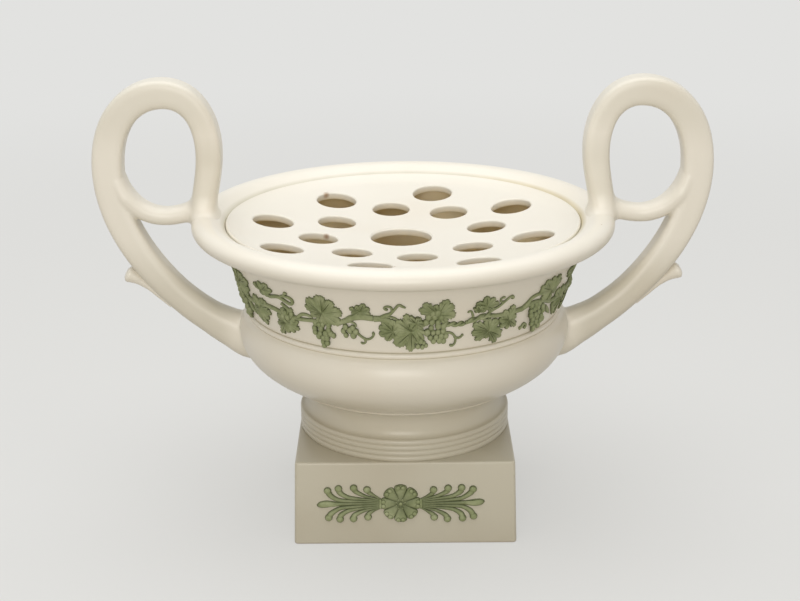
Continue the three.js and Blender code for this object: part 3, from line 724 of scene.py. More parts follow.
# Clay pressed into the corners: points move outwards wherever the skin is hollow
def fillHollows(piece, weight, rounds):
    mesh = piece.data
    ends = np.zeros(len(mesh.edges) * 2, int)
    mesh.edges.foreach_get("vertices", ends)
    a, b = ends.reshape(-1, 2).T
    both = np.concatenate([a, b])
    others = np.concatenate([b, a])
    count = np.bincount(both, minlength=len(mesh.vertices))
    where = places(piece)
    normals = np.zeros_like(where)
    for i in range(rounds):
        if i % 12 == 0:
            setPlaces(piece, where)
            flat = np.zeros(where.size)
            mesh.vertex_normals.foreach_get("vector", flat)
            normals = flat.reshape(-1, 3)
        middle = np.stack([np.bincount(both, where[others, k], len(where)) / count for k in range(3)], axis=1)
        along = np.sum((middle - where) * normals, axis=1)
        where += normals * (np.maximum(along, 0) * weight * 0.9)[:, None]
    setPlaces(piece, where)


# In edit mode: only the largest connected part stays
def keepLargestPart(piece):
    bm = bmesh.from_edit_mesh(piece.data)
    unseen = set(bm.verts)
    parts = []
    while unseen:
        stack, part = [unseen.pop()], []
        while stack:
            vertex = stack.pop()
            part.append(vertex)
            for edge in vertex.link_edges:
                other = edge.other_vert(vertex)
                if other in unseen:
                    unseen.remove(other)
                    stack.append(other)
        parts.append(part)
    parts.sort(key=len)
    bmesh.ops.delete(bm, geom=[vertex for part in parts[:-1] for vertex in part], context="VERTS")
    bmesh.update_edit_mesh(piece.data)


def modelHandle(name):
    s = handleSizes
    squareAt = lambda share: np.interp(share, *np.array(s["squareSteps"]).T)
    strap = loftedPiece("strap", sweptRings(strapRoute(), halfSizesFrom(s["strapSteps"]), 120, 32, squareAt))
    curlRoute = s["curl"][:1] + bezierPoints(*s["curl"][:4], 20) + bezierPoints(*s["curl"][3:], 20)
    curl = loftedPiece("curl", sweptRings(curlRoute, halfSizesFrom(s["curlSteps"]), 24))
    piece = joinPieces([strap, curl, bowlSector("sector")], name)
    applyModifier(piece, "REMESH", mode="VOXEL", voxel_size=s["voxel"] * mm)
    applyModifier(piece, "SMOOTH", factor=0.5, iterations=s["smoothRounds"][0])
    # Near each junction, but not inside the recess, clay is filled in and smoothed
    where = places(piece) / mm
    junction = np.zeros(len(where))
    for centre, core, reach, most in s["junctions"]:
        gap = np.sqrt((where[:, 0] - centre[0]) ** 2 + (where[:, 2] - centre[1]) ** 2 + (where[:, 1] * 0.5) ** 2)
        junction = np.maximum(junction, most * (1 - smoothStep(core, reach, gap)))
    radius = np.hypot(where[:, 0], where[:, 1])
    junction *= np.where(where[:, 2] < 160, smoothStep(*s["recessEdge"], radius), 1)
    fillHollows(piece, junction, s["fillRounds"])
    group = piece.vertex_groups.new(name="junction")
    for index in np.nonzero(junction > 0.01)[0]:
        group.add([int(index)], float(min(1, junction[index] * 2)), "REPLACE")
    applyModifier(piece, "SMOOTH", factor=0.5, iterations=s["smoothRounds"][1], vertex_group="junction")
    # What lies on the bowl's skin sinks a little below it, and what is below the skin is cut off
    where = places(piece)
    gap, out = distanceFromSkin(where)
    push = -s["sunk"] * (1 - smoothStep(0, s["sunkReach"], gap)) * mm
    across = np.hypot(where[:, 0], where[:, 1])
    where[:, 0] += push * out[:, 0] * where[:, 0] / across
    where[:, 1] += push * out[:, 0] * where[:, 1] / across
    where[:, 2] += push * out[:, 1]
    setPlaces(piece, where)
    gap = distanceFromSkin(where)[0]
    makeActive(piece)
    bpy.ops.object.mode_set(mode="EDIT")
    bpy.ops.mesh.select_mode(type="VERT")
    bm = bmesh.from_edit_mesh(piece.data)
    for vertex, depth in zip(bm.verts, gap):
        vertex.select_set(bool(depth < -s["cutShare"] * s["sunk"]))
    bm.select_flush_mode()
    bmesh.update_edit_mesh(piece.data)
    bpy.ops.mesh.delete(type="VERT")
    keepLargestPart(piece)
    bpy.ops.mesh.select_all(action="SELECT")
    bpy.ops.mesh.fill_holes(sides=0)
    bpy.ops.object.mode_set(mode="OBJECT")
    facesOutwards(piece)
    smoothByAngle(piece, 50)
    return piece


handleRight = modelHandle("loopHandleRight")
handleLeft = copyPiece(handleRight, "loopHandleLeft", Matrix.Rotation(math.pi, 4, "Z"))
print("handles shaped:", len(handleRight.data.polygons), "faces each")

# Reliefs are modelled flat, X along the wall and -Y out of it, and then laid round the wall
vineSizes = {
    "wallRadius": 80,
    "sunk": 0.5,
    "leafEdge": 0.85,
    "leafDome": 0.55,
    "veinDepth": 0.35,
    "notchDepth": 0.35,
    "sinus": 0.66,
    "bulge": 0.2,
    "teethDepth": 0.15,
    "leafRings": (1, 1.02, 1, 0.95, 0.84, 0.7, 0.54, 0.38, 0.22, 0.08),
    "grapeRadius": 1.5,
    "grapeScale": (0.92, 0.9, 1.1),
    "grapeShift": 0.34,
    "grapeOut": 0.75,
}
grapeDraws = random.Random(11)


def flatPlace(degrees, height):
    return np.array([math.radians(degrees) * vineSizes["wallRadius"], height])


# Half of a lobe from its tip to the notch, bulging outwards and toothed; the last point is left out
def lobeSide(start, end, teeth, count, deepTeeth):
    start, end = np.array(start), np.array(end)
    length = np.hypot(*(end - start))
    out = np.array([end[1] - start[1], start[0] - end[0]]) / length
    if out @ (start + end) < 0:
        out = -out
    points = []
    for i in range(count):
        t = i / count
        bulge = vineSizes["bulge"] * math.sin(math.pi * t) ** 0.8
        tooth = deepTeeth * (0.5 - abs(math.sin(math.pi * teeth * t))) * min(1, 6 * t * (1 - t))
        points.append(start + (end - start) * t + out * length * (bulge + tooth))
    return points


# Tips are (degrees, height) all round the leaf; sinus says how far out the notches between them stay
def leaf(centre, tips, lift=0, tilt=(0, 0), teeth=2.5, count=10, sinus=None):
    s = vineSizes
    middle = flatPlace(*centre)
    tips = [flatPlace(*tip) - middle for tip in tips]
    tips.sort(key=lambda tip: math.atan2(tip[1], tip[0]))
    outline, towardsTip = [], []
    for tip, after in zip(tips, tips[1:] + tips[:1]):
        turn = (math.atan2(after[1], after[0]) - math.atan2(tip[1], tip[0])) % math.tau
        angle = math.atan2(tip[1], tip[0]) + turn / 2
        near = min(np.hypot(*tip), np.hypot(*after))
        radius = near * (sinus or s["sinus"]) * (1 if turn < 1.7 else 0.72)
        notch = radius * np.array([math.cos(angle), math.sin(angle)])
        outline += lobeSide(tip, notch, teeth, count, s["teethDepth"])
        outline += lobeSide(notch, after, teeth, count, s["teethDepth"])
        towardsTip += [1 - i / count for i in range(count)] + [i / count for i in range(count)]
    outline, towardsTip = np.array(outline), np.array(towardsTip)
    vein = np.exp(-((1 - towardsTip) / 0.13) ** 2)
    notched = np.exp(-(towardsTip / 0.16) ** 2)
    ribs = np.cos(towardsTip * math.tau * teeth)
    rings = []
    for i, share in enumerate(s["leafRings"]):
        flat = outline * share
        height = s["leafEdge"] + s["leafDome"] * (1 - share ** 2) + 0.12 * ribs * share * (1 - share) * 4
        height = height - s["veinDepth"] * vein * math.sin(math.pi * min(share, 0.97) ** 0.6)
        height = height - s["notchDepth"] * notched * float(smoothStep(0.35, 0.95, share))
        height = height + lift + flat @ np.array(tilt)
        # The first ring is sunk in the wall, the second halfway up the rim, the third the rim's rounded edge
        if i == 0:
            height = np.full(len(flat), -s["sunk"])
        elif i == 1:
            height = height * 0.4
        elif i == 2:
            height = height - 0.18
        out = np.maximum(height, -s["sunk"])
        rings.append(np.stack([flat[:, 0] + middle[0], -out, flat[:, 1] + middle[1]], axis=1))
    return [loftedPiece("leaf", rings, closeTip=True)]


# A wave (size, turns, phase) winds the strand round its own line
def strand(spots, steps, lift=0.35, depth=1, wave=(0, 0, 0)):
    size, turns, phase = wave
    spots = [flatPlace(*spot) for spot in spots]
    route = smoothRun(2 * spots[0] - spots[1], spots, 2 * spots[-1] - spots[-2], 10)
    stations = max(8, int(sum(np.hypot(*(b - a)) for a, b in zip(route, route[1:])) / 0.55))
    angles = [phase + math.tau * turns * i / (len(route) - 1) for i in range(len(route))]
    route = [place + np.array([0, size * math.sin(angle)]) for place, angle in zip(route, angles)]
    liftAt = lambda share: lift + size * math.cos(phase + math.tau * turns * share)
    return [loftedPiece("strand", sweptRings(route, halfSizesFrom(steps, depth), stations, 8, 2, liftAt))]


def tendril(spots, half=0.48):
    shares = [(0, 1.3), (0.15, 1.1), (0.8, 0.95), (0.93, 1.35), (0.98, 1), (1, 0.3)]
    return strand(spots, [(place, half * share) for place, share in shares])


def rope(spots, turns):
    steps = [(0, 0.3), (0.06, 0.72), (0.94, 0.72), (1, 0.3)]
    return [strand(spots, steps, 0.5, wave=(0.62, turns, phase))[0] for phase in (0, math.pi)]


# Rows of (height, first degree, last degree, how many) and extras of (degree, height, size)
def bunch(rows, extras=()):
    s = vineSizes
    clearSelection()
    bpy.ops.mesh.primitive_ico_sphere_add(subdivisions=2, radius=s["grapeRadius"] * mm)
    grape = placeApplied(bpy.context.object, "grape")
    spots = [
        (first + (last - first) * i / max(1, many - 1), height, 1)
        for height, first, last, many in rows for i in range(many)
    ]
    grapes = []
    for degrees, height, size in [*spots, *extras]:
        shift = [grapeDraws.uniform(-1, 1) * s["grapeShift"] for i in range(3)]
        x, z = flatPlace(degrees, height)
        size *= 1 + shift[1] * 0.3
        place = Matrix.Translation(Vector((x + shift[0], shift[2] - s["grapeOut"], z + shift[1])) * mm)
        scale = Matrix.Diagonal((*(size * share for share in s["grapeScale"]), 1))
        grapes.append(copyPiece(grape, "grape", place @ scale))
    bpy.data.objects.remove(grape)
    return grapes


wallLine = np.array(wallPoints())


def addShare(piece, name, values):
    found = piece.data.attributes.new(name, "FLOAT", "POINT")
    found.data.foreach_set("value", values)


# Painted shade: clay in the low places, on the steep sides and in the hollows of a flat relief is darker
def paintCreviceShade(piece, shadeLowRange=(0.2, 1.1), steepRange=(0.15, 0.62)):
    out = -places(piece)[:, 1] / mm
    ends = np.zeros(len(piece.data.edges) * 2, int)
    piece.data.edges.foreach_get("vertices", ends)
    here = np.concatenate([ends[0::2], ends[1::2]])
    there = np.concatenate([ends[1::2], ends[0::2]])
    hollow = np.bincount(here, out[there] - out[here], len(out)) / np.bincount(here, minlength=len(out))
    normals = np.zeros(len(out) * 3)
    piece.data.vertex_normals.foreach_get("vector", normals)
    facing = -normals.reshape(-1, 3)[:, 1]
    low = 0.85 * (1 - smoothStep(*shadeLowRange, out))
    steep = 0.75 * (1 - smoothStep(*steepRange, facing))
    hollow = smoothStep(0.015, 0.13, hollow)
    addShare(piece, "creviceShade", np.clip(np.maximum(np.maximum(low, steep), hollow), 0, 1))


# Lay a flat relief round the wall: height picks the radius, X the turn
def layOnWall(piece):
    paintCreviceShade(piece)
    smoothByAngle(piece, 40)
    flat = places(piece) / mm
    height, out = flat[:, 2], -flat[:, 1]
    radiusAt = lambda level: np.interp(level, wallLine[:, 1], wallLine[:, 0])
    lean = np.arctan(radiusAt(height + 0.5) - radiusAt(height - 0.5))
    turn = flat[:, 0] / vineSizes["wallRadius"]
    radius = radiusAt(height) + out * np.cos(lean)
    laid = [radius * np.sin(turn), -radius * np.cos(turn), height - out * np.sin(lean)]
    setPlaces(piece, np.stack(laid, axis=1) * mm)


def modelSprigFull():
    pieces = strand(
        [(-9.4, 124.1), (-7.5, 124.2), (-5, 123.4), (-3.2, 121.6), (-1, 120.6)],
        [(0, 1.5), (0.5, 1.3), (1, 1)], 0.3, 0.85,
    )
    pieces += strand(
        [(-7.6, 124.4), (-6, 125.9), (-4.3, 127), (-2.9, 129.3), (-1.6, 131.7), (-0.5, 130.9), (0.4, 130.2)],
        [(0, 1), (0.3, 0.8), (0.6, 0.62), (0.9, 0.62), (1, 0.4)],
    )
    pieces += tendril([(-3.6, 128.4), (-3.9, 130.3), (-4.9, 130.9), (-6, 130.2), (-5.7, 129.2), (-4.8, 129.3)], 0.5)
    pieces += strand([(-7, 125), (-4.4, 125.3), (-2.4, 124.2), (-1.6, 121.5)], [(0, 0.6), (0.7, 0.5), (1, 0.4)])
    pieces += leaf(
        (-3.4, 118.4),
        [(-8, 119.8), (-6.8, 123.2), (-8, 115.8), (-5.6, 112.8), (-2.4, 114), (-0.8, 121.6), (-4, 124)],
        0.12, (0.02, 0), 2.5, 8, 0.86,
    )
    pieces += leaf(
        (2.2, 118),
        [(0.6, 127), (-2.4, 123.6), (-2.8, 110.3), (2.4, 107.3), (4.6, 111.5), (6, 121.8), (5, 125), (2.2, 124.8)],
        0.25, (0, 0.01), sinus=0.74,
    )
    pieces += leaf(
        (10.3, 126.8),
        [
            (4.4, 128.6), (6, 132.6), (9, 131), (12.8, 133.7), (14.9, 130.4), (15.9, 124.4), (13.2, 121.4),
            (7.2, 124.6),
        ],
        0, (0, 0.01), sinus=0.88,
    )
    pieces += leaf(
        (3.6, 123),
        [(0.8, 124.5), (1.5, 126), (4.4, 125.3), (6, 122.8), (5.8, 120.2), (2.2, 119.2)],
        0.75, (0.03, -0.02), 1.5, 6,
    )
    for tip, bend in [((4.9, 113.6), (3.9, 116.4)), ((6.3, 113.6), (5.2, 116.4)), ((7.4, 115.2), (6.2, 117.4))]:
        pieces += strand([(3.4, 119.6), bend, tip], [(0, 0.5), (0.5, 0.95), (0.85, 0.7), (1, 0.2)], 1.2, 0.8)
    pieces += bunch(
        [
            (127.2, 8.7, 10.2, 2), (124.8, 7.4, 11.2, 3), (122.2, 6.5, 10.4, 3), (119.8, 8.4, 12.4, 3),
            (117.3, 7.3, 12.4, 4), (114.8, 8.4, 13.2, 4), (112.5, 9.6, 12.6, 3),
        ],
        [(5.3, 112.4, 0.9), (4.3, 109.9, 0.8), (6, 109.8, 0.8), (7.2, 110.3, 0.7), (6.3, 111.9, 0.75)],
    )
    pieces += rope([(12, 120.4), (14.5, 120.6), (17, 120), (19.4, 120.3)], 1.6)
    pieces += tendril(
        [(12.8, 116.1), (14.8, 115.9), (16.2, 114.4), (16.9, 112), (16.7, 109.9), (15.8, 109), (15, 109.7)],
        0.55,
    )
    pieces += tendril([(16.4, 113.7), (17.5, 112.7), (18.6, 113), (19.4, 114.5)], 0.55)
    return pieces


def modelSprigTall():
    pieces = strand([(-36.4, 118.6), (-33.5, 119), (-31, 119.4), (-28, 119.8)], [(0, 0.95), (1, 0.95)])
    pieces += strand([(-36.4, 119.6), (-34.6, 121.4), (-32.6, 121.9), (-30.4, 121)], [(0, 0.9), (0.8, 0.7), (1, 0.5)])
    pieces += strand(
        [(-27, 120), (-22, 120), (-18.8, 121.8), (-16.4, 123.8), (-13.4, 124.7), (-9.6, 124.4)],
        [(0, 0.9), (0.3, 1), (0.55, 1.5), (1, 1.55)],
        0.3, 0.8,
    )
    pieces += strand(
        [(-18.8, 122.4), (-15.5, 125.2), (-12, 125.8), (-9.6, 125.2)],
        [(0, 0.5), (0.5, 0.6), (1, 0.6)],
        0.8,
    )
    pieces += leaf(
        (-26, 125.3),
        [
            (-31.2, 130.2), (-32.2, 126.6), (-30.6, 122.3), (-25.3, 133.8), (-22.2, 131.6), (-19.6, 126.4),
            (-20.8, 119.2), (-24.6, 118.2), (-28.4, 119.5),
        ],
        0.1, sinus=0.82,
    )
    pieces += leaf(
        (-13.4, 128),
        [(-16.8, 129), (-16.2, 125.6), (-14.6, 130.6), (-12, 131.9), (-10.4, 129.3), (-10.4, 125.8)],
        0, (0, 0.03), 2.5, 7, 0.8,
    )
    pieces += bunch(
        [
            (118.6, -29.4, -24.6, 3), (116.3, -29.9, -25, 3), (114, -30.4, -24.4, 4), (111.7, -29, -25.8, 3),
            (109.4, -28, -26.2, 2), (107.9, -27.7, -27.7, 1),
        ],
        [(-23.6, 113.2, 0.85), (-28, 118, 0.8)],
    )
    pieces += bunch([(119.1, -18.6, -16.2, 2), (117, -19.7, -15.6, 3), (114.8, -18.9, -16.5, 2)])
    pieces += strand([(-18.4, 121.6), (-16.4, 121.4), (-15.4, 120), (-16, 118.8)], [(0, 0.5), (1, 0.55)])
    pieces += tendril(
        [(-15.4, 116.3), (-13.6, 113.9), (-12.1, 113.1), (-10.7, 113.9), (-9.9, 115.5), (-10, 117.2)],
        0.55,
    )
    pieces += tendril([(-12.9, 113.3), (-12.7, 111.7), (-13.6, 110.7), (-14.4, 111.4)], 0.5)
    return pieces


def modelSprigLow():
    pieces = strand(
        [(19.6, 120.2), (23, 121.2), (27, 122.2), (31, 121.2), (36, 121), (40.9, 121.4)],
        [(0, 0.9), (0.5, 1), (0.85, 1.05), (1, 1.3)],
    )
    pieces += rope([(20, 120.8), (23, 121.6), (26.5, 122.6), (28.6, 122.6)], 1.5)
    pieces += leaf(
        (26, 128),
        [(22.2, 129.6), (25.2, 132.9), (28.6, 131.2), (30.6, 128), (29, 125.2), (24.4, 124.6)],
        0, (0.01, 0), 2.5, 8,
    )
    pieces += leaf(
        (23.4, 127),
        [(21.5, 127.2), (22.4, 129.1), (24.6, 128.6), (25, 126.4), (23.6, 124.9), (22.2, 125.3)],
        0.5, (0, 0), 1.5, 6,
    )
    pieces += tendril([(22, 123), (21.4, 125.2), (20.7, 126.1), (19.9, 125.3)], 0.5)
    pieces += tendril([(27.4, 124), (30.6, 125.9), (32.9, 128.4), (34.5, 130.1), (35.5, 129.5), (35.1, 128.5)], 0.6)
    pieces += tendril([(32.4, 127.8), (31, 128.6), (30.9, 130.1), (31.7, 130.6), (32.3, 130)], 0.5)
    pieces += leaf(
        (28.4, 114.6),
        [
            (22.4, 114), (22.5, 119), (24.2, 109.8), (28.2, 110.2), (32.4, 106.9), (34.2, 109.6), (31.4, 119.3),
            (27.3, 120.6),
        ],
        0.05, (0, 0.01), sinus=0.78,
    )
    pieces += leaf(
        (35.6, 118.2),
        [(36.9, 125), (33.4, 123), (39.2, 118.3), (39.9, 113.3), (36.2, 112.8), (33, 114.3), (31.9, 119)],
        0.2,
    )
    pieces += strand([(25.6, 120.8), (27.4, 120.2), (28.2, 118.8)], [(0, 0.45), (1, 0.4)], 0.9)
    return pieces


def modelSprigWide():
    start = 41
    shifted = lambda spots: [(start + place[0], *place[1:]) for place in spots]
    pieces = strand(
        shifted([(0.1, 121.4), (2, 123.3), (3.6, 125.6), (6, 126.4), (9, 125.8), (12, 122)]),
        [(0, 1.2), (0.3, 0.85), (1, 0.8)],
    )
    pieces += strand(
        shifted([
            (0.2, 121), (3.6, 122.6), (7, 122.6), (12, 121), (16, 119.2), (21, 119.4), (27, 120.4), (32, 120.3),
            (37, 119.2), (42.4, 118.8),
        ]),
        [(0, 0.9), (0.5, 1.1), (1, 1)],
    )
    pieces += leaf(
        (start + 12.6, 126.6),
        shifted([
            (6.8, 130.2), (8.4, 132.6), (12.4, 133.4), (17, 132.6), (19.5, 129.4), (18, 124.4), (15, 119.6),
            (10, 121.2),
        ]),
        0.1,
    )
    rows = [
        (121.5, 4.6, 8.6, 3), (119, 4.6, 10.6, 4), (116.5, 5.4, 11.8, 4), (114, 6.6, 11.4, 3),
        (111.6, 7.3, 12.9, 4), (109.2, 8.2, 10.8, 2), (107.6, 9.4, 9.4, 1),
    ]
    pieces += bunch([(height, start + first, start + last, many) for height, first, last, many in rows])
    pieces += tendril(
        shifted([(1.2, 110.7), (2.3, 111.4), (2.9, 112.6), (4, 112.1), (4.5, 110.8), (3.4, 110.2)]),
        0.65,
    )
    pieces += strand(shifted([(14, 117.5), (16, 114.6), (18.5, 111.9)]), [(0, 0.7), (0.5, 1.2), (1, 0.3)])
    pieces += strand(shifted([(18.6, 116.6), (20.6, 113.4), (22.2, 109.6)]), [(0, 0.7), (0.6, 1.1), (1, 0.3)])
    pieces += leaf(
        (start + 23.6, 118.4),
        shifted([
            (19.4, 122.4), (19.2, 115.6), (21.2, 111.8), (24.6, 109), (26.6, 112.5), (29, 116.4), (27.6, 122.2),
        ]),
        0.05,
    )
    pieces += leaf(
        (start + 29.4, 129.6),
        shifted([(24.2, 130.6), (28, 133.3), (32.6, 133), (34, 130.4), (31.6, 126.4), (27, 126.6)]),
        0, (0, 0), 2.5, 8,
    )
    pieces += strand(
        shifted([
            (31.8, 126.6), (36.4, 127.9), (40.4, 125.8), (42, 127), (41.7, 128.7), (39.4, 129.4), (36.8, 128.5),
        ]),
        [(0, 0.9), (0.5, 0.85), (0.9, 0.7), (1, 0.4)],
    )
    pieces += tendril(shifted([(38.9, 129.4), (39.9, 131.4), (40.6, 130.6)]), 0.6)
    pieces += strand(shifted([(36.6, 124.8), (39.2, 122.4), (40.6, 119.6)]), [(0, 0.8), (1, 0.8)])
    pieces += leaf(
        (start + 37, 115.4),
        shifted([
            (32.4, 107.8), (31.8, 112.6), (32.6, 117.4), (36.8, 123), (40.4, 123.6), (42.2, 117), (42, 112.8),
            (39.6, 110.6), (36, 109.2),
        ]),
        0.05,
    )
    rows = [(120.8, 37.6, 40.4, 2), (118.4, 36.4, 40.8, 3), (116.2, 37, 39.4, 2)]
    pieces += bunch([(height, start + first, start + last, many) for height, first, last, many in rows])
    return pieces


sprigs = []
sprigModels = {"wide": modelSprigWide, "tall": modelSprigTall, "full": modelSprigFull, "low": modelSprigLow}
for sprigName, model in sprigModels.items():
    sprig = joinPieces(model(), sprigName + "Sprig1")
    layOnWall(sprig)
    sprigs.append((sprig, f"vine_sprig_{sprigName}_1"))
    for i in (2, 3):
        turn = Matrix.Rotation((i - 1) * math.tau / 3, 4, "Z")
        sprigs.append((copyPiece(sprig, f"{sprigName}Sprig{i}", turn), f"vine_sprig_{sprigName}_{i}"))
    print("sprig", sprigName, len(sprig.data.polygons))

# Plinth ornaments, modelled flat about the rosette's middle and then set on each face
ornamentSizes = {
    "sideDepth": 0.42,
    "sunk": 0.2,
    "height": 21.2,
    "shift": -2.2,
    "petals": 8,
    "petalLength": 9.7,
    "petalSteps": [(0, 0.45), (0.3, 1.5), (0.55, 2.4), (0.76, 3.1), (0.88, 3.0), (0.96, 2.1), (1, 0.8)],
    "petalDepth": 0.42,
    "lobes": [
        [(-9.7, 0.6), (-13.8, 0.95), (-18, 1.15), (-26.6, 1.5), (-30.2, 2.2), (-33.2, 4.2), (-34.6, 6.8)],
        [(-9.7, 1.2), (-13.8, 1.85), (-21.1, 2.6), (-25.3, 3.4), (-28.6, 5.5), (-29.4, 7.8)],
        [(-9.7, 1.8), (-13.7, 2.9), (-17.4, 4), (-21.1, 6.1), (-22.2, 8.1)],
        [(-9.7, 2.3), (-12, 3.7), (-15, 5.6), (-15.9, 7.2)],
        [(-9.7, -0.6), (-13.8, -0.95), (-18, -1.25), (-27.2, -2.1), (-30.2, -3.1), (-33.2, -5.2), (-34.3, -7.1)],
        [(-9.7, -1.2), (-13.8, -1.9), (-20.5, -2.8), (-25, -3.8), (-28.3, -5.9), (-28.9, -7.9)],
        [(-9.7, -1.8), (-14.2, -2.9), (-18.4, -4.1), (-21.8, -5.9), (-22.5, -7.7)],
        [(-9.7, -2.3), (-12.7, -3.6), (-15.2, -5.3), (-15.6, -6.9)],
    ],
    "lobeSteps": [(0, 0.36), (0.15, 0.48), (0.35, 0.62), (0.6, 0.95), (0.8, 1.2), (0.93, 1.5), (1, 1.4)],
    "webSteps": [(0, 2.3), (0.25, 3.1), (0.5, 2.7), (0.8, 1.8), (1, 0.8)],
    "ballRadius": 1.85,
    "end": [(-9.8, 0), (-20, 0), (-29, -0.15), (-35, -0.1), (-39.8, -0.8)],
    "endSteps": [(0, 0.38), (0.2, 0.5), (0.45, 0.75), (0.7, 1.2), (0.85, 1.9), (0.94, 1.7), (0.98, 1.1), (1, 0.5)],
    "endRib": [(-30, -0.9), (-34, -0.7), (-38, -0.9)],
    "web": [(-9.7, 0), (-16, 0), (-23, 0), (-29, -0.2)],
    "root": [(-9.6, -2.5), (-9.6, 0), (-9.6, 2.5)],
    "rootSteps": [(0, 0.5), (0.1, 0.75), (0.9, 0.75), (1, 0.5)],
}


def flatStrand(spots, steps, lift=(0.2, 0.2), depth=1, sides=10, stations=18, squareness=2):
    route = smoothRun(spots[0], spots, spots[-1], 8)
    liftAt = lambda share: between(lift[1], lift[0], (1 - share) ** 2)
    return loftedPiece("strand", sweptRings(route, halfSizesFrom(steps, depth), stations, sides, squareness, liftAt))


def smallBall(place, radius, flatten=0.8):
    clearSelection()
    bpy.ops.mesh.primitive_uv_sphere_add(
        segments=12, ring_count=8, radius=radius * mm, location=Vector(place) * mm,
        rotation=(math.pi / 2, 0, 0), scale=(1, 1, flatten),
    )
    return placeApplied(bpy.context.object, "ball")


def modelRosette():
    s = ornamentSizes
    spots = [(0, 0.9), (0, 3.5), (0, 6.5), (0, s["petalLength"])]
    petal = flatStrand(spots, s["petalSteps"], (0.7, 0.1), s["petalDepth"], 18, 20, 3.4)
    petal = joinPieces([petal] + [smallBall((x, -1.25, 8.2), 1.2, 0.75) for x in (-1.1, 1.1)], "petal")
    turns = np.arange(32) * math.tau / 32
    disc = [
        np.stack([np.cos(turns) * radius, np.full(32, -out), np.sin(turns) * radius], axis=1)
        for radius, out in [(6.6, -0.5), (6.6, 0.3), (6.2, 0.5), (0.5, 0.5)]
    ]
    pieces = [loftedPiece("disc", disc, closeTip=True), petal]
    for i in range(1, s["petals"]):
        pieces.append(copyPiece(petal, "petal", Matrix.Rotation(i * math.tau / s["petals"], 4, "Y")))
    pieces.append(smallBall((0, -1, 0), 1.1, 0.9))
    for i in range(s["petals"]):
        turn = (i + 0.5) * math.tau / s["petals"]
        pieces.append(smallBall((2.3 * math.cos(turn), -1.15, 2.3 * math.sin(turn)), 0.45, 1))
    return joinPieces(pieces, "rosette")


def modelPalmette():
    s = ornamentSizes
    pieces = []
    for lobe in s["lobes"]:
        pieces.append(flatStrand(lobe, s["lobeSteps"], (0.75, 0.15), 0.95, 10, 28))
        pieces.append(smallBall((lobe[-1][0], -0.6, lobe[-1][1]), s["ballRadius"], 0.8))
    pieces.append(flatStrand(s["end"], s["endSteps"], (0.8, 0.2), 0.8, 10, 30))
    pieces.append(flatStrand(s["endRib"], [(0, 0.3), (0.6, 0.8), (1, 0.5)], (1, 1), 0.8))
    pieces.append(flatStrand(s["web"], s["webSteps"], (0, 0), 0.24, 12, 20))
    pieces.append(flatStrand(s["root"], s["rootSteps"], (0.9, 0.9)))
    return joinPieces(pieces, "palmette")


def setOnPlinth(piece, name, quarter, halfTurn=False):
    s = ornamentSizes
    depth = s["sideDepth"] if quarter % 2 else 1
    lean = math.atan2(plinthSizes["draft"], plinthSizes["height"])
    away = plinthSizes["width"] / 2 + plinthSizes["draft"] * (1 - s["height"] / plinthSizes["height"])
    place = Matrix.Translation(Vector((s["shift"], s["sunk"] * depth - away, s["height"])) * mm)
    flatten = Matrix.Scale(depth, 4, Vector((0, 1, 0)))
    turn = Matrix.Rotation(quarter * math.pi / 2, 4, "Z") @ place @ Matrix.Rotation(-lean, 4, "X") @ flatten
    if halfTurn:
        turn = turn @ Matrix.Rotation(math.pi, 4, "Y")
    return copyPiece(piece, name, turn)


ornaments = []
rosette, palmette = modelRosette(), modelPalmette()
for flatPiece in (rosette, palmette):
    paintCreviceShade(flatPiece, (0.5, 1.5), (0.3, 0.85))
    smoothByAngle(flatPiece, 50)
for quarter, face in enumerate(["front", "right", "back", "left"]):
    ornaments.append((setOnPlinth(rosette, f"rosette{face.title()}", quarter), f"rosette_{face}"))
    for side in ("left", "right"):
        onFace = setOnPlinth(palmette, f"palmette{face.title()}{side.title()}", quarter, side == "right")
        ornaments.append((onFace, f"palmette_{face}_{side}"))
bpy.data.objects.remove(rosette)
bpy.data.objects.remove(palmette)
print("ornaments", len(ornaments))

# Spurs: a small trumpet of clay that peels off the strap's outer edge
spurSizes = {
    "route": [(113.5, 103.4), (118, 107.9), (122.3, 112.1), (126.4, 115.5), (130.0, 118.0), (133.2, 119.6)],
    "steps": [
        (0, 0.9, 2.2), (0.3, 1.5, 2.6), (0.55, 1.8, 2.6), (0.75, 2.5, 3.0), (0.9, 3.4, 3.8), (0.97, 3.85, 4.2),
        (1, 3.9, 4.3),
    ],
    "domeSteps": [(0.5, 0.95), (1.1, 0.78), (1.6, 0.5), (1.8, 0.2)],
}


def modelSpur(name):
    s = spurSizes
    route = smoothRun(s["route"][0], s["route"], s["route"][-1], 8)
    rings = sweptRings(route, halfSizesFrom(s["steps"]), 40, 28, 2.2)
    mouth = rings[-1]
    middle = mouth.mean(axis=0)
    forward = np.array([route[-1][0] - route[-3][0], 0, route[-1][1] - route[-3][1]])
    forward /= np.linalg.norm(forward)
    for away, share in s["domeSteps"]:
        rings.append(middle + (mouth - middle) * share + forward * away)
    piece = loftedPiece(name, rings, closeTip=True)
    smoothByAngle(piece, 60)
    return piece


spurRight = modelSpur("spurRight")
spurLeft = copyPiece(spurRight, "spurLeft", Matrix.Rotation(math.pi, 4, "Z"))

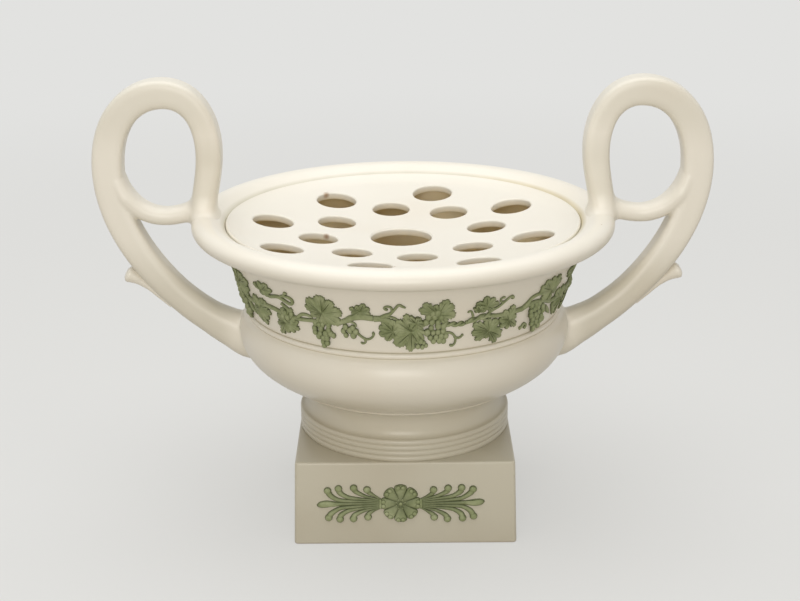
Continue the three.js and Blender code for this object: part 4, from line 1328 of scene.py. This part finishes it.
# Glaze and clay
glazeLook = {
    "cream": (241, 236, 224),
    "warm": (239, 232, 218),
    "pale": (243, 238, 227),
    # The low tones are painted shade for the lower parts and the handles' shaded places
    "low": ((197, 190, 171), (204, 199, 182)),
    "shadeLowRange": (0.038, 0.104),
    "stainAndShade": ((226, 206, 158), (238, 220, 178)),
    # The groove tones are grey-green glaze pooled in the grooves, darkened further as painted shade
    "groove": ((168, 162, 132), (196, 190, 160)),
    "speck": ((150, 104, 62), (176, 138, 98)),
    "roughness": (0.29, 0.38),
    "cloudSize": 14,
    "streakSize": 55,
    "dotSize": 70,
    "peelSize": 700,
    "waveSize": 45,
    "IOR": 1.5,
}
clayLook = {
    "top": (140, 149, 106),
    "pale": (176, 182, 144),
    "creviceShade": ((50, 57, 24), (72, 80, 40)),
    "roughness": (0.52, 0.68),
    "cloudSize": 160,
    "grainSize": 2600,
}


def tone(red, green, blue):
    values = [v / 255 for v in (red, green, blue)]
    return tuple(v / 12.92 if v <= 0.04045 else ((v + 0.055) / 1.055) ** 2.4 for v in values) + (1,)


def grey(value):
    return (value, value, value, 1)


# Small helpers for building a material's nodes; feeds gives each input its source
def newFinish(name):
    finish = bpy.data.materials.new(name)
    finish.use_nodes = True
    return finish, finish.node_tree, finish.node_tree.nodes["Principled BSDF"]


def addNode(tree, kind, feeds=None, **values):
    node = tree.nodes.new(kind)
    for key, value in values.items():
        if key in node.inputs:
            node.inputs[key].default_value = value
        else:
            setattr(node, key, value)
    for socket, source in (feeds or {}).items():
        tree.links.new(source, node.inputs[socket])
    return node


def noise(tree, where, **values):
    return addNode(tree, "ShaderNodeTexNoise", {"Vector": where}, **values).outputs["Fac"]


def attribute(tree, name):
    return addNode(tree, "ShaderNodeAttribute", attribute_name=name).outputs["Fac"]


def combined(tree, operation, first, second):
    return addNode(tree, "ShaderNodeMath", {0: first, 1: second}, operation=operation).outputs["Value"]


def ranged(tree, source, fromRange, toRange, scheme="SMOOTHSTEP"):
    limits = dict(zip(("From Min", "From Max", "To Min", "To Max"), (*fromRange, *toRange)))
    node = addNode(tree, "ShaderNodeMapRange", {"Value": source}, interpolation_type=scheme, **limits)
    return node.outputs["Result"]


def ramp(tree, source, stops, scheme="LINEAR"):
    node = addNode(tree, "ShaderNodeValToRGB", {"Fac": source})
    node.color_ramp.interpolation = scheme
    elements = node.color_ramp.elements
    while len(elements) < len(stops):
        elements.new(0.5)
    for element, (place, colour) in zip(elements, stops):
        element.position = place
        element.color = colour
    return node.outputs["Color"]


# A tone that drifts between two colours
def drift(tree, source, colours, scheme="LINEAR"):
    return ramp(tree, source, [(0.3, tone(*colours[0])), (0.7, tone(*colours[1]))], scheme)


def blend(tree, share, first, second):
    return addNode(tree, "ShaderNodeMix", {"Factor": share, 6: first, 7: second}, data_type="RGBA").outputs[2]


def bump(tree, height, strength, distance):
    return addNode(tree, "ShaderNodeBump", {"Height": height}, Strength=strength, Distance=distance)


def glazeFinish(name):
    look = glazeLook
    finish, tree, shader = newFinish(name)
    where = addNode(tree, "ShaderNodeTexCoord").outputs["Object"]
    cloud = noise(tree, where, Scale=look["cloudSize"], Detail=2, Roughness=0.5)
    streak = noise(tree, where, Scale=look["streakSize"], Detail=3)
    bodyStops = [(0.3, tone(*look["warm"])), (0.5, tone(*look["cream"])), (0.72, tone(*look["pale"]))]
    body = ramp(tree, cloud, bodyStops, "EASE")
    # Painted shade: the lower parts, under the belly, are a little darker and warmer, and so are the handles' shaded
    # places
    height = addNode(tree, "ShaderNodeSeparateXYZ", {"Vector": where}).outputs["Z"]
    low = ranged(tree, height, look["shadeLowRange"], (1, 0))
    shadeShare = combined(tree, "MAXIMUM", low, attribute(tree, "paintedShade"))
    body = blend(tree, shadeShare, body, drift(tree, cloud, look["low"], "EASE"))
    # Brown stain line by the handle, a tan tint inside the bowl and painted shade down the hole walls; then
    # grey-green in the grooves, partly glaze pooled there and partly painted shade
    body = blend(tree, attribute(tree, "stainAndShade"), body, drift(tree, streak, look["stainAndShade"]))
    body = blend(tree, attribute(tree, "groove"), body, drift(tree, streak, look["groove"]))
    # A few rust specks, and rust where the "rust" share says
    dots = addNode(tree, "ShaderNodeTexVoronoi", {"Vector": where}, Scale=look["dotSize"])
    chosen = ramp(tree, dots.outputs["Color"], [(0.8, grey(0)), (0.84, grey(1))])
    small = ramp(tree, dots.outputs["Distance"], [(0.02, grey(1)), (0.035, grey(0))])
    rusty = combined(tree, "MAXIMUM", combined(tree, "MULTIPLY", chosen, small), attribute(tree, "rust"))
    body = blend(tree, rusty, body, drift(tree, streak, look["speck"]))
    tree.links.new(body, shader.inputs["Base Color"])
    rough = ranged(tree, cloud, (0.2, 0.8), look["roughness"], "SMOOTHERSTEP")
    tree.links.new(rough, shader.inputs["Roughness"])
    fine = bump(tree, noise(tree, where, Scale=look["peelSize"], Detail=2), 0.06, 0.0002)
    wavy = bump(tree, noise(tree, where, Scale=look["waveSize"], Detail=1), 0.05, 0.001)
    tree.links.new(fine.outputs["Normal"], wavy.inputs["Normal"])
    tree.links.new(wavy.outputs["Normal"], shader.inputs["Normal"])
    shader.inputs["IOR"].default_value = look["IOR"]
    return finish


def clayFinish(name):
    look = clayLook
    finish, tree, shader = newFinish(name)
    where = addNode(tree, "ShaderNodeTexCoord").outputs["Object"]
    cloud = noise(tree, where, Scale=look["cloudSize"], Detail=4, Roughness=0.65)
    body = ramp(tree, cloud, [(0.42, tone(*look["top"])), (0.75, tone(*look["pale"]))])
    # Painted shade: the relief's crevices, low places and steep sides are a darker green
    body = blend(tree, attribute(tree, "creviceShade"), body, drift(tree, cloud, look["creviceShade"]))
    tree.links.new(body, shader.inputs["Base Color"])
    low, high = look["roughness"]
    tree.links.new(ramp(tree, cloud, [(0.3, grey(low)), (0.7, grey(high))]), shader.inputs["Roughness"])
    grain = bump(tree, noise(tree, where, Scale=look["grainSize"], Detail=3), 0.25, 0.0002)
    tree.links.new(grain.outputs["Normal"], shader.inputs["Normal"])
    return finish


creamGlaze = glazeFinish("creamGlaze")
greenClay = clayFinish("greenClay")


# Stain, painted shade with pooled glaze in the grooves, painted shade down the hole walls and on the handles, and
# rust; ranges in mm or degrees, shares from 0 to 1
wearAndPaintedShade = {
    "insideShare": 0.85,
    "seatLine": {"radius": (85.6, 87.4), "height": (143, 149), "turn": 22, "spread": (20, 55), "share": 0.75},
    "groove": {"radius": (86, 88.8), "height": (140, 148), "share": 0.5},
    "lines": {"bottom": 102.4, "depth": (0, 0.6), "share": 0.45},
    "holes": {"depth": (0.6, 3.6), "share": 0.4},
    "strap": {"low": (112, 142), "lowShare": 0.5, "top": (178, 200), "topShare": 0.3, "reach": (78, 92)},
    "limb": {"foot": (152, 162), "top": (175, 200), "reach": 119, "share": 0.4},
    "rustSpotShare": 0.8,
    "rustEdge": {"height": (0.2, 1.05), "least": 0.25, "more": 0.5, "waves": (0.23, 0.31)},
}


# A tan tint inside the bowl only, a tea-coloured stain line in the recess by the right handle, and painted shade in
# the grooves
def stainAndShadeBowl(piece):
    where = places(piece) / mm
    radius, height = np.hypot(where[:, 0], where[:, 1]), where[:, 2]
    inside = (radius < bowlSizes["recessRadius"] - 0.3) & (height < bowlSizes["ledgeHeight"] + 0.2)
    inside &= (height > bowlSizes["bottom"] + 2) & (distanceFromSkin(places(piece))[0] < -2)
    line, turn = wearAndPaintedShade["seatLine"], np.degrees(np.arctan2(where[:, 1], where[:, 0]))
    within = lambda low, high: (height > low) & (height < high)
    seatLine = (1 - smoothStep(*line["radius"], radius)) * within(*line["height"])
    seatLine *= line["share"] * (1 - smoothStep(*line["spread"], np.abs(turn - line["turn"])))
    addShare(piece, "stainAndShade", np.maximum(inside * wearAndPaintedShade["insideShare"], seatLine))
    # Painted shade in the seat groove by the cover and in the incised lines, partly glaze pooled there
    groove, lines, waist = wearAndPaintedShade["groove"], wearAndPaintedShade["lines"], bowlSizes["waistRadius"]
    pooledAndShaded = (1 - smoothStep(*groove["radius"], radius)) * within(*groove["height"])
    inLines = within(lines["bottom"], friezeBottom + 0.1) & (radius > waist - 2)
    inLines = smoothStep(*lines["depth"], waist - 0.15 - radius) * inLines
    addShare(piece, "groove", np.maximum(groove["share"] * pooledAndShaded, lines["share"] * inLines))


# Painted shade: each strap's foot, the top of its loop and its limb are darker than the rest
def paintHandleShade(piece):
    where = places(piece) / mm
    reach, height = np.abs(where[:, 0]), where[:, 2]
    strap, limb = wearAndPaintedShade["strap"], wearAndPaintedShade["limb"]
    shadeShare = strap["lowShare"] * (1 - smoothStep(*strap["low"], height))
    shadeShare = shadeShare + strap["topShare"] * smoothStep(*strap["top"], height)
    onLimb = limb["share"] * (1 - smoothStep(*limb["top"], height)) * smoothStep(*limb["foot"], height)
    onLimb = onLimb * (reach <= limb["reach"])
    addShare(piece, "paintedShade", np.maximum(shadeShare * smoothStep(*strap["reach"], reach), onLimb))


# Rust along the plinth's worn bottom edge, more in some places than in others
def wearPlinth(piece):
    x, y, height = (places(piece) / mm).T
    edge = wearAndPaintedShade["rustEdge"]
    alongX, alongY = edge["waves"]
    worn = 0.5 + 0.5 * np.sin(x * alongX + 1) * np.cos(y * alongY)
    share = edge["least"] + edge["more"] * worn
    addShare(piece, "rust", share * (1 - smoothStep(*edge["height"], height)))


# Painted shade down the hole walls, and the rust spots on three of them
def rustAndShadeCover(piece):
    where = places(piece) / mm
    radius = np.hypot(where[:, 0], where[:, 1])
    depth = coverTop(radius) - where[:, 2]
    rust = np.zeros(len(where))
    for *spot, size in coverSizes["rustSpots"]:
        away = np.linalg.norm(where - spot, axis=1)
        rust = np.maximum(rust, wearAndPaintedShade["rustSpotShare"] * (1 - smoothStep(0.2 * size, size, away)))
    addShare(piece, "rust", rust)
    holeShade = wearAndPaintedShade["holes"]["share"] * smoothStep(*wearAndPaintedShade["holes"]["depth"], depth)
    addShare(piece, "stainAndShade", holeShade * (radius < coverSizes["radius"] - 1))


stainAndShadeBowl(bowl)
paintHandleShade(handleRight)
paintHandleShade(handleLeft)
wearPlinth(plinth)
rustAndShadeCover(cover)


def dress(piece, finish, body, nodes):
    piece.data.materials.clear()
    piece.data.materials.append(finish)
    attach(piece, body)
    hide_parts(*nodes)


for piece, body, nodes in [
    (bowl, "pot", ["bowl"]),
    (foot, "pot", ["foot"]),
    (plinth, "pot", ["plinth"]),
    (cover, "cover", ["pierced_cover"]),
    (handleRight, "pot", ["handle_right"]),
    (handleLeft, "pot", ["handle_left"]),
    (spurRight, "pot", ["handle_spur_right"]),
    (spurLeft, "pot", ["handle_spur_left"]),
]:
    dress(piece, creamGlaze, body, nodes)
for sprig, node in sprigs + ornaments:
    dress(sprig, greenClay, "pot", [node])

# Room: pale floor, large soft lamps
roomLook = {
    "floorSeen": (226, 226, 224),
    "floorShare": 0.6,
    "floorBounce": (166, 160, 148),
    "floorShadowReach": (0.3, 1.1),
    "floorSize": 16,
    "lamps": [
        ("overhead", (-0.06, 0, 1.15), (0, 0, 0.1), 1.4, 9.8, (0.96, 0.98, 1)),
        ("front", (-0.1, -1.8, 0.5), (0, 0, 0.12), 0.94, 11.4, (1, 0.965, 0.91)),
    ],
    "ambient": (1, 0.955, 0.88, 1),
    "ambientStrength": 0.43,
}
bpy.context.scene.view_settings.view_transform = "Standard"


# 1 for what the camera sees straight, in a gloss or through glass
def seenRays(tree):
    rays = addNode(tree, "ShaderNodeLightPath").outputs
    seen = combined(tree, "MAXIMUM", rays["Is Camera Ray"], rays["Is Glossy Ray"])
    return combined(tree, "MAXIMUM", seen, rays["Is Transmission Ray"])


# The floor looks pale but throws little light back; near the pot it keeps the shadow, far off it is plain
def floorFinish(name):
    look = roomLook
    finish, tree, shader = newFinish(name)
    shader.inputs["Roughness"].default_value = 0.9
    seen = seenRays(tree)
    body = ramp(tree, seen, [(0, tone(*look["floorBounce"])), (1, tone(*look["floorSeen"]))])
    tree.links.new(body, shader.inputs["Base Color"])
    glow = addNode(tree, "ShaderNodeEmission", Color=tone(*look["floorSeen"]))
    where = addNode(tree, "ShaderNodeTexCoord").outputs["Object"]
    away = addNode(tree, "ShaderNodeVectorMath", {0: where}, operation="LENGTH").outputs["Value"]
    plain = ranged(tree, away, look["floorShadowReach"], (look["floorShare"], 1))
    share = combined(tree, "MULTIPLY", seen, plain)
    sources = {"Fac": share, 1: shader.outputs["BSDF"], 2: glow.outputs["Emission"]}
    both = addNode(tree, "ShaderNodeMixShader", sources)
    tree.links.new(both.outputs["Shader"], tree.nodes["Material Output"].inputs["Surface"])
    return finish


# The room's light, and a plain backdrop in the floor's tone for what is seen
def roomWorld(name):
    world = bpy.data.worlds.new(name)
    world.use_nodes = True
    tree = world.node_tree
    light = tree.nodes["Background"]
    light.inputs["Color"].default_value = roomLook["ambient"]
    light.inputs["Strength"].default_value = roomLook["ambientStrength"]
    backdrop = addNode(tree, "ShaderNodeBackground", Color=tone(*roomLook["floorSeen"]))
    sources = {"Fac": seenRays(tree), 1: light.outputs["Background"], 2: backdrop.outputs["Background"]}
    pick = addNode(tree, "ShaderNodeMixShader", sources)
    tree.links.new(pick.outputs["Shader"], tree.nodes["World Output"].inputs["Surface"])
    return world


clearSelection()
bpy.ops.mesh.primitive_plane_add(size=roomLook["floorSize"], location=(0, 0, 0))
floor = bpy.context.object
floor.name = "floor"
floor.data.materials.append(floorFinish("paleFloor"))
for name, place, aim, size, strength, colour in roomLook["lamps"]:
    bpy.ops.object.light_add(type="AREA", location=place)
    lamp = bpy.context.object
    lamp.name = name
    lamp.data.energy = strength
    lamp.data.size = size
    lamp.data.color = colour
    lamp.rotation_euler = (Vector(aim) - Vector(place)).to_track_quat("-Z", "Y").to_euler()
bpy.context.scene.world = roomWorld("room")
print("room lit")
